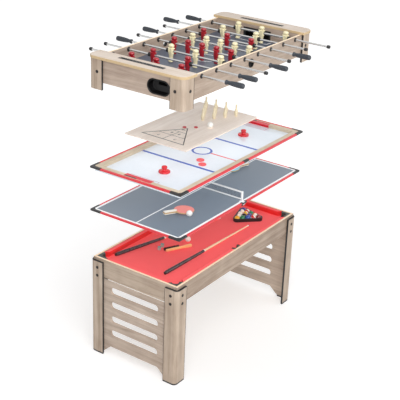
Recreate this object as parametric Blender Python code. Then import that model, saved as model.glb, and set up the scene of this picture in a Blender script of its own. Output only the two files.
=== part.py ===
"""Multi game table, shown with its tops lifted apart over the base.

X is the length, Y the width and +Z up, in metres. The origin is on the floor under the
middle of the base. The base holds the pool bed. Over it float the table-tennis top, the
glide-hockey top, the bowling and shuffleboard, and the foosball top with its eight rods.
Each object is one solid, so small game pieces are fused to the board that carries them,
and a rod is fused with the men, the stop and the handle that are pinned to it.
"""

import math

import bmesh
import bpy
from mathutils import Matrix, Vector

for old in list(bpy.data.objects):
    bpy.data.objects.remove(old)

# Sizes of the whole table
TABLE_LENGTH = 1.372
TABLE_WIDTH = 0.673
SEAT_GAP = 0.0003
FUSE_OVERLAP = 0.0005
CUT_OVERRUN = 0.004
WELD_DISTANCE = 0.00001
SMOOTH_ANGLE_DEGREES = 35.0

# Height of the rail above the floor, and how far the top of each lifted board, or the foot
# of the foosball posts, is above the top below it
RAIL_TOP = 0.683
TENNIS_LIFT = 0.322
HOCKEY_LIFT = 0.282
BOARD_LIFT = 0.163
FOOSBALL_LIFT = 0.328

# Base: legs, aprons, end panels and the battens that carry the bed
LEG_BOARD = 0.012
LEG_FACE = 0.095
LEG_TOP_DROP = 0.019
LEG_CORNER_RADIUS = 0.026
LEG_CORNER_STEPS = 5
FOOT_HEIGHT = 0.010
FOOT_INSET = 0.002
APRON_BOARD = 0.015
APRON_HEIGHT = 0.126
PANEL_TOP_GAP = 0.005
PANEL_SLOT_COUNT = 4
PANEL_SLOT_LENGTH = 0.370
PANEL_SLOT_HEIGHT = 0.048
PANEL_SLOT_PITCH = 0.1025
PANEL_SLOT_RADIUS = 0.022
PANEL_SLOT_STEPS = 2
PANEL_TOP_SLOT_DROP = 0.0683
PANEL_ARCH_HEIGHT = 0.073
PANEL_HEEL_HEIGHT = 0.024
PANEL_ARCH_RUN = 0.055
BATTEN_WIDTH = 0.018
BATTEN_HEIGHT = 0.050
BATTEN_PLACE_SHARES = (-0.34, -0.12, 0.12, 0.34)

# Pool bed, cushions and pockets
BED_DEPTH = 0.038
BED_BOARD = 0.012
CUSHION_DEPTH = 0.034
CUSHION_TOP_DROP = 0.002
CUSHION_NOSE_HEIGHT = 0.024
CUSHION_NOSE_FACE = 0.006
CUSHION_UNDERCUT = 0.010
CUSHION_SLOPE = 0.008
CORNER_SLANT_SHARE = 0.9
MIDDLE_SLANT_SHARE = 0.4
CORNER_POCKET_WIDTH = 0.066
MIDDLE_POCKET_DEPTH = 0.054
POCKET_WALL = 0.005
POCKET_DEPTH = 0.048
POCKET_FLOOR = 0.003
POCKET_SIDES = 12

# Pool cues, rack, balls, brush and chalk
CUE_ROOM = 0.3348
CUE_BUTT_RADIUS = 0.0125
CUE_BUTT_END_RADIUS = 0.010
CUE_JOINT_RADIUS = 0.0088
CUE_TIP_RADIUS = 0.0045
CUE_TIP_LENGTH = 0.012
CUE_JOINT_SHARE = 0.45
CUE_SIDES = 8
CUE_MIDDLE_SHARES = (-0.061, -0.07)
CUE_END_SHARES = ((-0.494, -0.579), (0.9886, 0.234))
POOL_BALL_RADIUS = 0.019
POOL_BALL_SEGMENTS = 12
POOL_BALL_RINGS = 6
CUE_BALL_PLACE_SHARES = (-0.06, 0.04)
RACK_ROWS = 5
RACK_WALL = 0.007
RACK_HEIGHT = 0.024
RACK_CORNER_STEPS = 3
RACK_PLACE_SHARES = (0.345, -0.10)
RACK_TURN_DEGREES = -14.0
BRUSH_LENGTH = 0.185
BRUSH_HEAD_LENGTH = 0.100
BRUSH_WIDTH = 0.024
BRUSH_BACK = 0.014
BRUSH_HANDLE_SAG = 0.004
BRISTLE_LENGTH = 0.020
BRISTLE_MARGIN = 0.003
BRISTLE_SLICE = 0.0015
BRISTLE_SPACE = 0.0012
BRISTLE_SPREAD_SHARE = 0.16
BRISTLE_COLUMNS = 20
BRISTLE_ROWS = 3
BRUSH_PLACE_SHARES = (-0.215, 0.06)
BRUSH_TURN_DEGREES = -26.0
CHALK_SIZE = 0.020
CHALK_DIMPLE_DEPTH = 0.003
CHALK_RIM = 0.004
CHALK_PLACE_SHARES = ((-0.178, 0.168), (-0.21, 0.154))
CHALK_TURN_DEGREES = 24.0

# Room round each lifted top for the thin band and guards that trim its edge
EDGE_TRIM = 0.003

# Table-tennis top and its net, paddles and ball
TENNIS_BOARD = 0.012
NET_TOP = 0.070
NET_FOOT = 0.012
NET_THICKNESS = 0.0016
NET_TAPE = 0.008
NET_COLUMNS = 20
NET_ROWS = 3
NET_STRAND = 0.0022
NET_POST_RADIUS = 0.005
NET_POST_SIDES = 6
NET_CLAMP_LENGTH = 0.034
NET_CLAMP_WIDTH = 0.022
NET_CLAMP_WALL = 0.003
NET_SCREW_RADIUS = 0.008
NET_SCREW_LENGTH = 0.012
PADDLE_LENGTH = 0.205
PADDLE_BLADE_LENGTH = 0.127
PADDLE_BLADE_WIDTH = 0.118
PADDLE_BLADE_THICKNESS = 0.009
PADDLE_HANDLE_WIDTH = 0.027
PADDLE_SCALE_THICKNESS = 0.006
PADDLE_STEPS = 12
PADDLE_ROUND_DEGREES = 150.0
PADDLE_THROAT_SHARE = 0.9
PADDLE_SCALE_OUTLINE_SHARES = ((0.01, -0.96), (1, -0.77), (1.15, 0), (1, 0.77), (0.01, 0.96))
PADDLE_NAMES = ("paddle_red", "paddle_blue")
PADDLE_PLACE_SHARES = ((-0.278, -0.157), (0.317, 0.024))
PADDLE_TURNS_DEGREES = (-24.0, 158.0)
TENNIS_BALL_RADIUS = 0.019
TENNIS_BALL_PLACE_SHARES = (-0.281, -0.2825)
BALL_SEGMENTS = 10
BALL_RINGS = 6

# Glide-hockey top, its strikers and pucks
HOCKEY_BOARD = 0.009
HOCKEY_RAIL_WIDTH = 0.048
HOCKEY_RAIL_HEIGHT = 0.021
HOCKEY_GOAL_WIDTH = 0.200
HOCKEY_GOAL_DEPTH = 0.028
STRIKER_RADIUS = 0.038
STRIKER_HEIGHT = 0.042
STRIKER_PROFILE_SHARES = (
    (1, 0), (1, 0.22), (0.86, 0.33), (0.66, 0.24), (0.36, 0.20), (0.30, 0.60), (0.37, 0.82), (0.28, 1),
)
STRIKER_PLACE_SHARES = ((-0.317, -0.046), (0.295, -0.071))
PUCK_RADIUS = 0.025
PUCK_HEIGHT = 0.006
PUCK_PLACE_SHARES = ((-0.102, -0.128), (-0.138, -0.202))
DISC_SIDES = 10

# Bowling and shuffleboard, its pins, ball and pucks
BOARD_LENGTH = 0.780
BOARD_WIDTH = 0.458
BOARD_THICKNESS = 0.008
BOARD_CENTRE_SHARES = (-0.045, 0.05)
PIN_HEIGHT = 0.080
PIN_RADIUS = 0.0125
PIN_PROFILE_SHARES = (
    (0.62, 0), (1, 0.32), (0.42, 0.68), (0.50, 0.88), (0.28, 1),
)
PIN_ROWS = 4
PIN_PITCH = 0.078
PIN_HEAD_PLACE_SHARE = 0.135
PIN_SIDES = 6
BOWLING_BALL_RADIUS = 0.019
BOWLING_BALL_PLACE_SHARES = (0.03, -0.25)
SHUFFLE_PUCK_RADIUS = 0.012
SHUFFLE_PUCK_HEIGHT = 0.006
SHUFFLE_PUCK_PLACE_SHARES = ((-0.042, -0.10), (-0.10, 0.02))

# Foosball cabinet, with heights above the foot of its corner posts
CAP_TOP = 0.200
CAP_THICKNESS = 0.018
CAP_OVERHANG = 0.010
CAP_CORNER_RADIUS = 0.050
WALL_BOARD = 0.015
WALL_FOOT = 0.042
ROD_HEIGHT = 0.164
MAN_REACH = 0.066
FIELD_CLEARANCE = 0.005
SWING_CLEARANCE = 0.003
FIELD_BOARD = 0.006
TRAY_BOARD = 0.004
RETURN_BOX_DEPTH = 0.0972
GOAL_WIDTH = 0.190
GOAL_HEIGHT = 0.060
SCORE_SLOT_LENGTH = 0.305
SCORE_SLOT_WIDTH = 0.014
SCORE_SLOT_DEPTH = 0.010
SCORE_SLOT_INSET = 0.068
SCORE_BEAD_COUNT = 10
SCORE_BEAD_RADIUS = 0.0062
SCORE_BEAD_NECK_RADIUS = 0.0045
SCORE_BEAD_LENGTH = 0.024
SCORE_BEAD_SIDES = 6
RETURN_CUP_LENGTH = 0.150
RETURN_CUP_HEIGHT = 0.080
RETURN_CUP_DEPTH = 0.044
RETURN_CUP_FLANGE = 0.005
RETURN_CUP_WALL = 0.003
RETURN_CUP_LEVEL = 0.103
RETURN_CUP_PLACE_SHARE = 0.232
RETURN_CUP_STEPS = 6
RETURN_WINDOW_LENGTH = 0.060
RETURN_WINDOW_HEIGHT = 0.026
ENTRY_CUP_RADIUS = 0.022
ENTRY_CUP_BORE = 0.019
ENTRY_CUP_FLANGE = 0.005
ENTRY_CUP_LEVEL = 0.126
ENTRY_CUP_PROUD = 0.008

# Foosball rods, with the men, stops, grips and end caps on them, and their bearings
ROD_RADIUS = 0.0064
ROD_SIDES = 8
BEARING_RADIUS = 0.0105
BEARING_FLANGE_RADIUS = 0.0135
BEARING_FLANGE = 0.004
BEARING_PROUD = 0.007
BUMPER_RADIUS = 0.0125
BUMPER_LENGTH = 0.016
BUMPER_SEAT = 0.001
STOP_CLEARANCE = 0.002
GRIP_LENGTH = 0.118
GRIP_RADIUS = 0.0155
GRIP_PROFILE_SHARES = (
    (0.87, 0), (0.87, 0.07), (0.68, 0.15), (0.92, 0.42), (1, 0.78), (1, 0.94), (0.78, 1),
)
ROD_CAP_RADIUS = 0.0105
ROD_CAP_LENGTH = 0.020
ROD_CAP_PROFILE_SHARES = ((1, 0), (1, 0.65), (0.6, 1))
MAN_HEAD_HEIGHT = 0.043
MAN_WIDTH = 0.030
MAN_DEPTH = 0.024
MAN_FOOT_SHIFT = 0.002
MAN_SIDE_SHARE = 0.15
# Level as a share of the reach to the feet or of the head's height, then the half depth
# and half width of the figure there as shares of its depth and width
MAN_LEG_SECTION_SHARES = (
    (-1.0, 0.42, 0.34), (-0.78, 0.34, 0.34), (-0.60, 0.24, 0.30), (-0.12, 0.46, 0.50),
)
MAN_HEAD_SECTION_SHARES = ((0.36, 0.46, 0.50), (0.47, 0.22, 0.22), (0.72, 0.40, 0.34), (1.0, 0.22, 0.20))

# Each rod's men, the side of its grip, and how far it is pushed along Y as a share of
# its free travel
ROD_MEN = (3, 2, 3, 5, 5, 3, 2, 3)
ROD_GRIP_SIDES = (-1, -1, 1, -1, 1, -1, 1, 1)
ROD_PUSH_SHARES = (-0.10, 0.0, -0.85, -0.33, -0.90, -0.05, 0.0, -0.85)
MAN_SPACINGS = {2: 0.250, 3: 0.178, 5: 0.104}

# Places that several pieces share
TENNIS_TOP = RAIL_TOP + TENNIS_LIFT
HOCKEY_TOP = TENNIS_TOP + HOCKEY_LIFT
BOARD_TOP = HOCKEY_TOP + BOARD_LIFT
FOOSBALL_FOOT = BOARD_TOP + FOOSBALL_LIFT
LEG_TOP = RAIL_TOP - LEG_TOP_DROP
APRON_BOTTOM = RAIL_TOP - APRON_HEIGHT
RAIL_HALF_LENGTH = TABLE_LENGTH / 2 - LEG_BOARD - SEAT_GAP
RAIL_HALF_WIDTH = TABLE_WIDTH / 2 - LEG_BOARD - SEAT_GAP
BAY_HALF_LENGTH = RAIL_HALF_LENGTH - APRON_BOARD - SEAT_GAP
BAY_HALF_WIDTH = RAIL_HALF_WIDTH - APRON_BOARD - SEAT_GAP
TOP_HALF_LENGTH = TABLE_LENGTH / 2 - EDGE_TRIM
TOP_HALF_WIDTH = TABLE_WIDTH / 2 - EDGE_TRIM
BED_TOP = RAIL_TOP - BED_DEPTH
CUSHION_TOP = RAIL_TOP - CUSHION_TOP_DROP
END_NAMES = {-1: "left", 1: "right"}
SIDE_NAMES = {-1: "front", 1: "back"}
CORNERS = [(sx, sy) for sx in (-1, 1) for sy in (-1, 1)]


def material(name, colour, roughness, metallic=0.0):
    """Plain Principled finish."""
    made = bpy.data.materials.new(name)
    made.use_nodes = True
    shader = made.node_tree.nodes["Principled BSDF"]
    shader.inputs["Base Color"].default_value = (*colour, 1)
    shader.inputs["Roughness"].default_value = roughness
    shader.inputs["Metallic"].default_value = metallic
    made.diffuse_color = (*colour, 1)
    return made


OAK = material("oak_laminate", (0.52, 0.43, 0.34), 0.5)
PALE_OAK = material("pale_oak", (0.72, 0.62, 0.50), 0.5)
BLACK_PLASTIC = material("black_plastic", (0.02, 0.02, 0.022), 0.4)
GREY_PLASTIC = material("grey_plastic", (0.07, 0.08, 0.08), 0.45)
RUBBER = material("black_rubber", (0.015, 0.015, 0.017), 0.7)
RED_CLOTH = material("red_cloth", (0.78, 0.05, 0.05), 0.95)
RED_RUBBER = material("red_rubber", (0.65, 0.06, 0.05), 0.6)
BLUE_RUBBER = material("blue_rubber", (0.05, 0.10, 0.45), 0.6)
SLATE = material("slate_print", (0.08, 0.10, 0.12), 0.45)
WHITE_BOARD = material("white_board", (0.85, 0.86, 0.87), 0.25)
BALL_GLOSS = material("ball_gloss", (0.75, 0.55, 0.10), 0.15)
MAPLE = material("maple", (0.72, 0.55, 0.34), 0.45)
NET_CORD = material("net_cord", (0.10, 0.10, 0.11), 0.8)
STEEL = material("chromed_steel", (0.75, 0.76, 0.78), 0.2, 1.0)


def level(name, x, y, z):
    """Empty that carries the pieces of one top."""
    made = bpy.data.objects.new(name, None)
    made.location = (x, y, z)
    bpy.context.collection.objects.link(made)
    return made


def piece(name, bm, finish=None, parent=None, place=(0, 0, 0)):
    """Name a finished bmesh and hang it on its level."""
    bmesh.ops.recalc_face_normals(bm, faces=bm.faces)
    mesh = bpy.data.meshes.new(name)
    bm.to_mesh(mesh)
    bm.free()
    mesh.materials.append(finish)
    mesh.shade_smooth()
    mesh.set_sharp_from_angle(angle=math.radians(SMOOTH_ANGLE_DEGREES))
    made = bpy.data.objects.new(name, mesh)
    made.parent = parent
    made.location = place
    bpy.context.collection.objects.link(made)
    return made


def combine(bm, tool, operation, self_crossing=False):
    """Exact Boolean of two bmeshes, as a new bmesh."""
    body, other = piece("body", bm), piece("tool", tool)
    change = body.modifiers.new(operation, "BOOLEAN")
    change.object = other
    change.operation = operation
    change.use_self = self_crossing
    graph = bpy.context.evaluated_depsgraph_get()
    result = bmesh.new()
    result.from_mesh(body.evaluated_get(graph).to_mesh())
    for spare in (body, other):
        bpy.data.objects.remove(spare)
    return result


def cut(bm, tool):
    """Take the tool out of the body."""
    return combine(bm, tool, "DIFFERENCE")


def fuse(bm, tool):
    """Join pieces that overlap the body into one solid with it."""
    return combine(bm, tool, "UNION")


def box(bm, low, high, matrix=Matrix.Identity(4)):
    """Closed box between two corners."""
    corners = bmesh.ops.create_cube(bm, size=1)["verts"]
    for corner in corners:
        shares = [c + 0.5 for c in corner.co]
        corner.co = matrix @ Vector([a + (b - a) * s for a, b, s in zip(low, high, shares)])
    return corners


def prism(bm, outline, low, high, axis="Z", matrix=Matrix.Identity(4)):
    """Push an outline along an axis. An outline is in YZ for X, XZ for Y and XY for Z."""
    order = {"X": (2, 0, 1), "Y": (0, 2, 1), "Z": (0, 1, 2)}[axis]
    rings = []
    for end in (low, high):
        rings.append([matrix @ Vector([(u, v, end)[i] for i in order]) for u, v in outline])
    return loft(bm, rings)


def loft(bm, rings, closed=False):
    """Skin rings of as many points each, with flat ends unless it closes on itself."""
    made = [[bm.verts.new(point) for point in ring] for ring in rings]
    pairs = list(zip(made, made[1:]))
    if closed:
        pairs.append((made[-1], made[0]))
    for near, far in pairs:
        for i in range(len(near)):
            bm.faces.new((near[i - 1], near[i], far[i], far[i - 1]))
    if not closed:
        bm.faces.new(made[0])
        bm.faces.new(made[-1])
    return [vert for ring in made for vert in ring]


def turned(bm, profile, sides, matrix=Matrix.Identity(4)):
    """Spin a profile of (radius, height) points about Z, closed at its ends, and place it."""
    if profile[0][0] > 0 and profile[0] != profile[-1]:
        profile = [(0, profile[0][1]), *profile, (0, profile[-1][1])]
    before = set(bm.verts)
    verts = [bm.verts.new((radius, 0, height)) for radius, height in profile]
    edges = [bm.edges.new(pair) for pair in zip(verts, verts[1:])]
    bmesh.ops.spin(bm, geom=verts + edges, axis=(0, 0, 1), angle=math.tau, steps=sides)
    made = [vert for vert in bm.verts if vert not in before]
    bmesh.ops.remove_doubles(bm, verts=made, dist=WELD_DISTANCE)
    made = [vert for vert in bm.verts if vert not in before]
    bmesh.ops.transform(bm, matrix=matrix, verts=made)


def scaled(profile_shares, radius, length):
    """Turned profile from a table of shares of a radius and a length."""
    return [(share * radius, along * length) for share, along in profile_shares]


def ball(bm, radius, segments, rings, place):
    """Ball with its centre at a place."""
    bmesh.ops.create_uvsphere(bm, u_segments=segments, v_segments=rings, radius=radius,
                              matrix=Matrix.Translation(place))


def arc(cx, cy, radius, start_degrees, end_degrees, steps):
    """Points along an arc, both ends counted."""
    points = []
    for i in range(steps + 1):
        angle = math.radians(start_degrees + (end_degrees - start_degrees) * i / steps)
        points.append((cx + radius * math.cos(angle), cy + radius * math.sin(angle)))
    return points


def polygon(cx, cy, radius, sides):
    """Regular polygon with a corner to the right."""
    return arc(cx, cy, radius, 0, 360, sides)[:-1]


def rounded_rectangle(cx, cy, width, height, radius, steps):
    """Outline with four round corners."""
    points = []
    for quarter, (sx, sy) in enumerate(((1, 1), (-1, 1), (-1, -1), (1, -1))):
        corner_x = cx + sx * (width / 2 - radius)
        corner_y = cy + sy * (height / 2 - radius)
        points += arc(corner_x, corner_y, radius, 90 * quarter, 90 * quarter + 90, steps)
    return points


def oval(cx, cy, length, height, steps):
    """Outline with straight sides and half-round ends."""
    across = (length - height) / 2
    return (arc(cx + across, cy, height / 2, -90, 90, steps)
            + arc(cx - across, cy, height / 2, 90, 270, steps))


def corner_ring(sx, sy, inset, z):
    """Outline of an L moulding at one corner of the table, in plan, at a height."""
    round_corner = arc(LEG_CORNER_RADIUS, LEG_CORNER_RADIUS, LEG_CORNER_RADIUS - inset,
                       180, 270, LEG_CORNER_STEPS)
    end, inner = LEG_FACE - inset, LEG_BOARD - inset
    plan = [(inset, end), *round_corner, (end, inset), (end, inner), (inner, inner), (inner, end)]
    return [(sx * (TABLE_LENGTH / 2 - u), sy * (TABLE_WIDTH / 2 - v), z) for u, v in plan]


def placed(x, y, z, turn_degrees=0.0):
    """Matrix that turns a piece about Z and sets it down."""
    return Matrix.Translation((x, y, z)) @ Matrix.Rotation(math.radians(turn_degrees), 4, "Z")


def on_table(shares, z, turn_degrees=0.0):
    """Place given as shares of the table's length and width."""
    return placed(shares[0] * TABLE_LENGTH, shares[1] * TABLE_WIDTH, z, turn_degrees)


def across_table(side):
    """Rotation that turns +Z to point out through the front or back of the table."""
    return Matrix.Rotation(-side * math.pi / 2, 4, "X")


# Legs: an L-shaped corner board each, with a foot pad stepped in under it

for sx, sy in CORNERS:
    bm = bmesh.new()
    loft(bm, [corner_ring(sx, sy, FOOT_INSET, 0), corner_ring(sx, sy, FOOT_INSET, FOOT_HEIGHT),
              corner_ring(sx, sy, 0, FOOT_HEIGHT), corner_ring(sx, sy, 0, LEG_TOP)])
    piece(f"leg_{SIDE_NAMES[sy]}_{END_NAMES[sx]}", bm, OAK)

# Aprons: four boards behind the legs

for side in (-1, 1):
    bm = bmesh.new()
    inner, outer = sorted((side * RAIL_HALF_WIDTH, side * (RAIL_HALF_WIDTH - APRON_BOARD)))
    box(bm, (-RAIL_HALF_LENGTH, inner, APRON_BOTTOM), (RAIL_HALF_LENGTH, outer, RAIL_TOP))
    piece(f"apron_{SIDE_NAMES[side]}", bm, OAK)
    bm = bmesh.new()
    inner, outer = sorted((side * RAIL_HALF_LENGTH, side * (RAIL_HALF_LENGTH - APRON_BOARD)))
    box(bm, (inner, -BAY_HALF_WIDTH, APRON_BOTTOM), (outer, BAY_HALF_WIDTH, RAIL_TOP))
    piece(f"apron_{END_NAMES[side]}", bm, OAK)

# End panels: a slotted board between the legs of each end, arched at the bottom

PANEL_TOP = APRON_BOTTOM - PANEL_TOP_GAP
HEEL_INNER = TABLE_WIDTH / 2 - LEG_FACE
ARCH_END = HEEL_INNER - PANEL_ARCH_RUN
panel_outline = [
    (-RAIL_HALF_WIDTH, PANEL_TOP), (-RAIL_HALF_WIDTH, PANEL_HEEL_HEIGHT),
    (-HEEL_INNER, PANEL_HEEL_HEIGHT), (-ARCH_END, PANEL_ARCH_HEIGHT),
    (ARCH_END, PANEL_ARCH_HEIGHT), (HEEL_INNER, PANEL_HEEL_HEIGHT),
    (RAIL_HALF_WIDTH, PANEL_HEEL_HEIGHT), (RAIL_HALF_WIDTH, PANEL_TOP),
]
for side in (-1, 1):
    bm = bmesh.new()
    slots = bmesh.new()
    inner, outer = sorted((side * RAIL_HALF_LENGTH, side * (RAIL_HALF_LENGTH - APRON_BOARD)))
    prism(bm, panel_outline, inner, outer, "X")
    for i in range(PANEL_SLOT_COUNT):
        slot_z = PANEL_TOP - PANEL_TOP_SLOT_DROP - i * PANEL_SLOT_PITCH
        slot = rounded_rectangle(0, slot_z, PANEL_SLOT_LENGTH, PANEL_SLOT_HEIGHT,
                                 PANEL_SLOT_RADIUS, PANEL_SLOT_STEPS)
        prism(slots, slot, inner - CUT_OVERRUN, outer + CUT_OVERRUN, "X")
    piece(f"end_panel_{END_NAMES[side]}", cut(bm, slots), OAK)

# Pockets: a moulded cup in each corner and at the middle of each long side. Above the
# cloth its side towards the bed is open, so that a ball can roll in.

CORNER_START_X = BAY_HALF_LENGTH - CORNER_POCKET_WIDTH
CORNER_START_Y = BAY_HALF_WIDTH - CORNER_POCKET_WIDTH
MIDDLE_HALF = CORNER_POCKET_WIDTH / 2
pocket_plans = []
for sx, sy in CORNERS:
    xs = sorted((sx * CORNER_START_X, sx * BAY_HALF_LENGTH))
    ys = sorted((sy * CORNER_START_Y, sy * BAY_HALF_WIDTH))
    pocket_plans.append((f"{SIDE_NAMES[sy]}_{END_NAMES[sx]}", xs, ys, (sx, sy)))
for side in (-1, 1):
    ys = sorted((side * (BAY_HALF_WIDTH - MIDDLE_POCKET_DEPTH), side * BAY_HALF_WIDTH))
    pocket_plans.append((f"{SIDE_NAMES[side]}_middle", (-MIDDLE_HALF, MIDDLE_HALF), ys, (0, side)))

POCKET_FOOT = BED_TOP - POCKET_DEPTH
for name, xs, ys, (sx, sy) in pocket_plans:
    centre_x, centre_y = sum(xs) / 2, sum(ys) / 2
    bm = bmesh.new()
    box(bm, (xs[0], ys[0], POCKET_FOOT), (xs[1], ys[1], CUSHION_TOP))
    hollow = bmesh.new()
    hole_radius = (ys[1] - ys[0]) / 2 - POCKET_WALL
    hollow_profile = [(hole_radius, POCKET_FOOT + POCKET_FLOOR), (hole_radius, CUSHION_TOP + CUT_OVERRUN)]
    turned(hollow, hollow_profile, POCKET_SIDES, placed(centre_x, centre_y, 0))
    mouth = bmesh.new()
    reach = CORNER_POCKET_WIDTH
    facing = math.degrees(math.atan2(-sy, -sx))
    box(mouth, (0, -reach, BED_TOP), (reach, reach, CUSHION_TOP + CUT_OVERRUN),
        placed(centre_x, centre_y, 0, facing))
    piece(f"pocket_{name}", cut(cut(bm, hollow), mouth), GREY_PLASTIC)

# Pool bed: a cloth-covered board notched for the pockets, on battens that run between
# the long aprons, with six cushions, the cue ball and two chalks on it

BED_BOTTOM = BED_TOP - BED_BOARD
bed = bmesh.new()
box(bed, (-BAY_HALF_LENGTH, -BAY_HALF_WIDTH, BED_BOTTOM), (BAY_HALF_LENGTH, BAY_HALF_WIDTH, BED_TOP))
notches = bmesh.new()
for _, xs, ys, (sx, sy) in pocket_plans:
    # A notch clears the pocket by the seat gap and runs out over the edge of the board.
    low_x = xs[0] - (CUT_OVERRUN if sx < 0 else SEAT_GAP)
    high_x = xs[1] + (CUT_OVERRUN if sx > 0 else SEAT_GAP)
    low_y = ys[0] - (CUT_OVERRUN if sy < 0 else SEAT_GAP)
    high_y = ys[1] + (CUT_OVERRUN if sy > 0 else SEAT_GAP)
    box(notches, (low_x, low_y, BED_BOTTOM - CUT_OVERRUN), (high_x, high_y, BED_TOP + CUT_OVERRUN))
bed = cut(bed, notches)

CUSHION_FOOT = BED_TOP - FUSE_OVERLAP
cushion_profile = [
    (0, CUSHION_FOOT), (0, CUSHION_TOP), (CUSHION_DEPTH - CUSHION_SLOPE, CUSHION_TOP),
    (CUSHION_DEPTH, BED_TOP + CUSHION_NOSE_HEIGHT + CUSHION_NOSE_FACE),
    (CUSHION_DEPTH, BED_TOP + CUSHION_NOSE_HEIGHT),
    (CUSHION_DEPTH - CUSHION_UNDERCUT, CUSHION_FOOT),
]


def cushion(bm, side, along_x, start, end, start_slant, end_slant):
    """Cushion between two pockets, its ends cut back towards the nose."""
    rings = []
    for along, slant in ((start, start_slant), (end, -end_slant)):
        ring = []
        for depth, z in cushion_profile:
            run = along + slant * depth
            if along_x:
                ring.append((run, side * (BAY_HALF_WIDTH - depth), z))
            else:
                ring.append((side * (BAY_HALF_LENGTH - depth), run, z))
        rings.append(ring)
    loft(bm, rings)


on_bed = bmesh.new()
far_end, near_end = CORNER_START_X - SEAT_GAP, MIDDLE_HALF + SEAT_GAP
short_end = CORNER_START_Y - SEAT_GAP
for side in (-1, 1):
    cushion(on_bed, side, True, -far_end, -near_end, CORNER_SLANT_SHARE, MIDDLE_SLANT_SHARE)
    cushion(on_bed, side, True, near_end, far_end, MIDDLE_SLANT_SHARE, CORNER_SLANT_SHARE)
    cushion(on_bed, side, False, -short_end, short_end, CORNER_SLANT_SHARE, CORNER_SLANT_SHARE)
for share in BATTEN_PLACE_SHARES:
    batten_x = share * TABLE_LENGTH
    top = BED_BOTTOM + FUSE_OVERLAP
    box(on_bed, (batten_x - BATTEN_WIDTH / 2, -BAY_HALF_WIDTH, top - BATTEN_HEIGHT),
        (batten_x + BATTEN_WIDTH / 2, BAY_HALF_WIDTH, top))
spot = on_table(CUE_BALL_PLACE_SHARES, BED_TOP + POOL_BALL_RADIUS - FUSE_OVERLAP).translation
ball(on_bed, POOL_BALL_RADIUS, BALL_SEGMENTS, BALL_RINGS, spot)
for shares in CHALK_PLACE_SHARES:
    seat = on_table(shares, BED_TOP - FUSE_OVERLAP, CHALK_TURN_DEGREES)
    half = CHALK_SIZE / 2
    cube = box(on_bed, (-half, -half, 0), (half, half, CHALK_SIZE), seat)
    faces = {face for vert in cube for face in vert.link_faces}
    top = max(faces, key=lambda face: face.calc_center_median().z)
    bmesh.ops.inset_region(on_bed, faces=[top], thickness=CHALK_RIM)
    bmesh.ops.translate(on_bed, verts=top.verts, vec=(0, 0, -CHALK_DIMPLE_DEPTH))
piece("pool_bed", fuse(bed, on_bed), RED_CLOTH)

# Cues: two tapered cues that lie on the bed, each resting on its butt and its tip. They are
# cut shorter than the run between the end cushions, and their ends are placed as shares of
# the half width that a butt can reach between the side cushions.

CUE_LENGTH = 2 * (BAY_HALF_LENGTH - CUSHION_DEPTH) - CUE_ROOM
CUE_TILT = math.atan2(CUE_BUTT_RADIUS - CUE_TIP_RADIUS, CUE_LENGTH)
CUE_HALF_LANE = BAY_HALF_WIDTH - CUSHION_DEPTH - CUE_BUTT_RADIUS - SEAT_GAP

cue_profile = [
    (CUE_BUTT_END_RADIUS, 0), (CUE_BUTT_RADIUS, CUE_BUTT_RADIUS),
    (CUE_JOINT_RADIUS, CUE_LENGTH * CUE_JOINT_SHARE), (CUE_TIP_RADIUS, CUE_LENGTH - CUE_TIP_LENGTH),
    (CUE_TIP_RADIUS, CUE_LENGTH),
]
for number, (middle_share, end_shares) in enumerate(zip(CUE_MIDDLE_SHARES, CUE_END_SHARES), 1):
    bm = bmesh.new()
    butt_y, tip_y = [share * CUE_HALF_LANE for share in end_shares]
    turn = math.degrees(math.asin((tip_y - butt_y) / CUE_LENGTH))
    middle = placed(middle_share * TABLE_LENGTH, (butt_y + tip_y) / 2, BED_TOP, turn)
    lie = Matrix.Rotation(math.pi / 2 + CUE_TILT, 4, "Y")
    start = Matrix.Translation((-CUE_LENGTH / 2, 0, CUE_BUTT_RADIUS + SEAT_GAP))
    turned(bm, cue_profile, CUE_SIDES, middle @ start @ lie)
    piece(f"cue_{number}", bm, MAPLE)

# Rack and fifteen balls: the balls press on each other, so they are one solid here

BALL_STEP = POOL_BALL_RADIUS * 2 - FUSE_OVERLAP
ROW_STEP = BALL_STEP * math.sqrt(3) / 2
RACK_MIDDLE = ROW_STEP * (RACK_ROWS - 1) * 2 / 3
rack_corners = [(-RACK_MIDDLE, 0)]
for side in (-1, 1):
    rack_corners.append((RACK_MIDDLE / 2, side * BALL_STEP * (RACK_ROWS - 1) / 2))
RACK_MATRIX = on_table(RACK_PLACE_SHARES, BED_TOP + SEAT_GAP, RACK_TURN_DEGREES)
INNER_OFFSET = (POOL_BALL_RADIUS + SEAT_GAP) / math.cos(math.pi / 3 / RACK_CORNER_STEPS)
OUTER_OFFSET = INNER_OFFSET + RACK_WALL


def rack_ring(offset, z):
    """Round-cornered triangle a set distance outside the outer balls' centres."""
    points = []
    for (x, y), start in zip(rack_corners, (120, 240, 0)):
        points += arc(x, y, offset, start, start + 120, RACK_CORNER_STEPS)
    return [RACK_MATRIX @ Vector((x, y, z)) for x, y in points]


bm = bmesh.new()
loft(bm, [rack_ring(INNER_OFFSET, 0), rack_ring(OUTER_OFFSET, 0),
          rack_ring(OUTER_OFFSET, RACK_HEIGHT), rack_ring(INNER_OFFSET, RACK_HEIGHT)], closed=True)
piece("ball_rack", bm, BLACK_PLASTIC)

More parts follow.
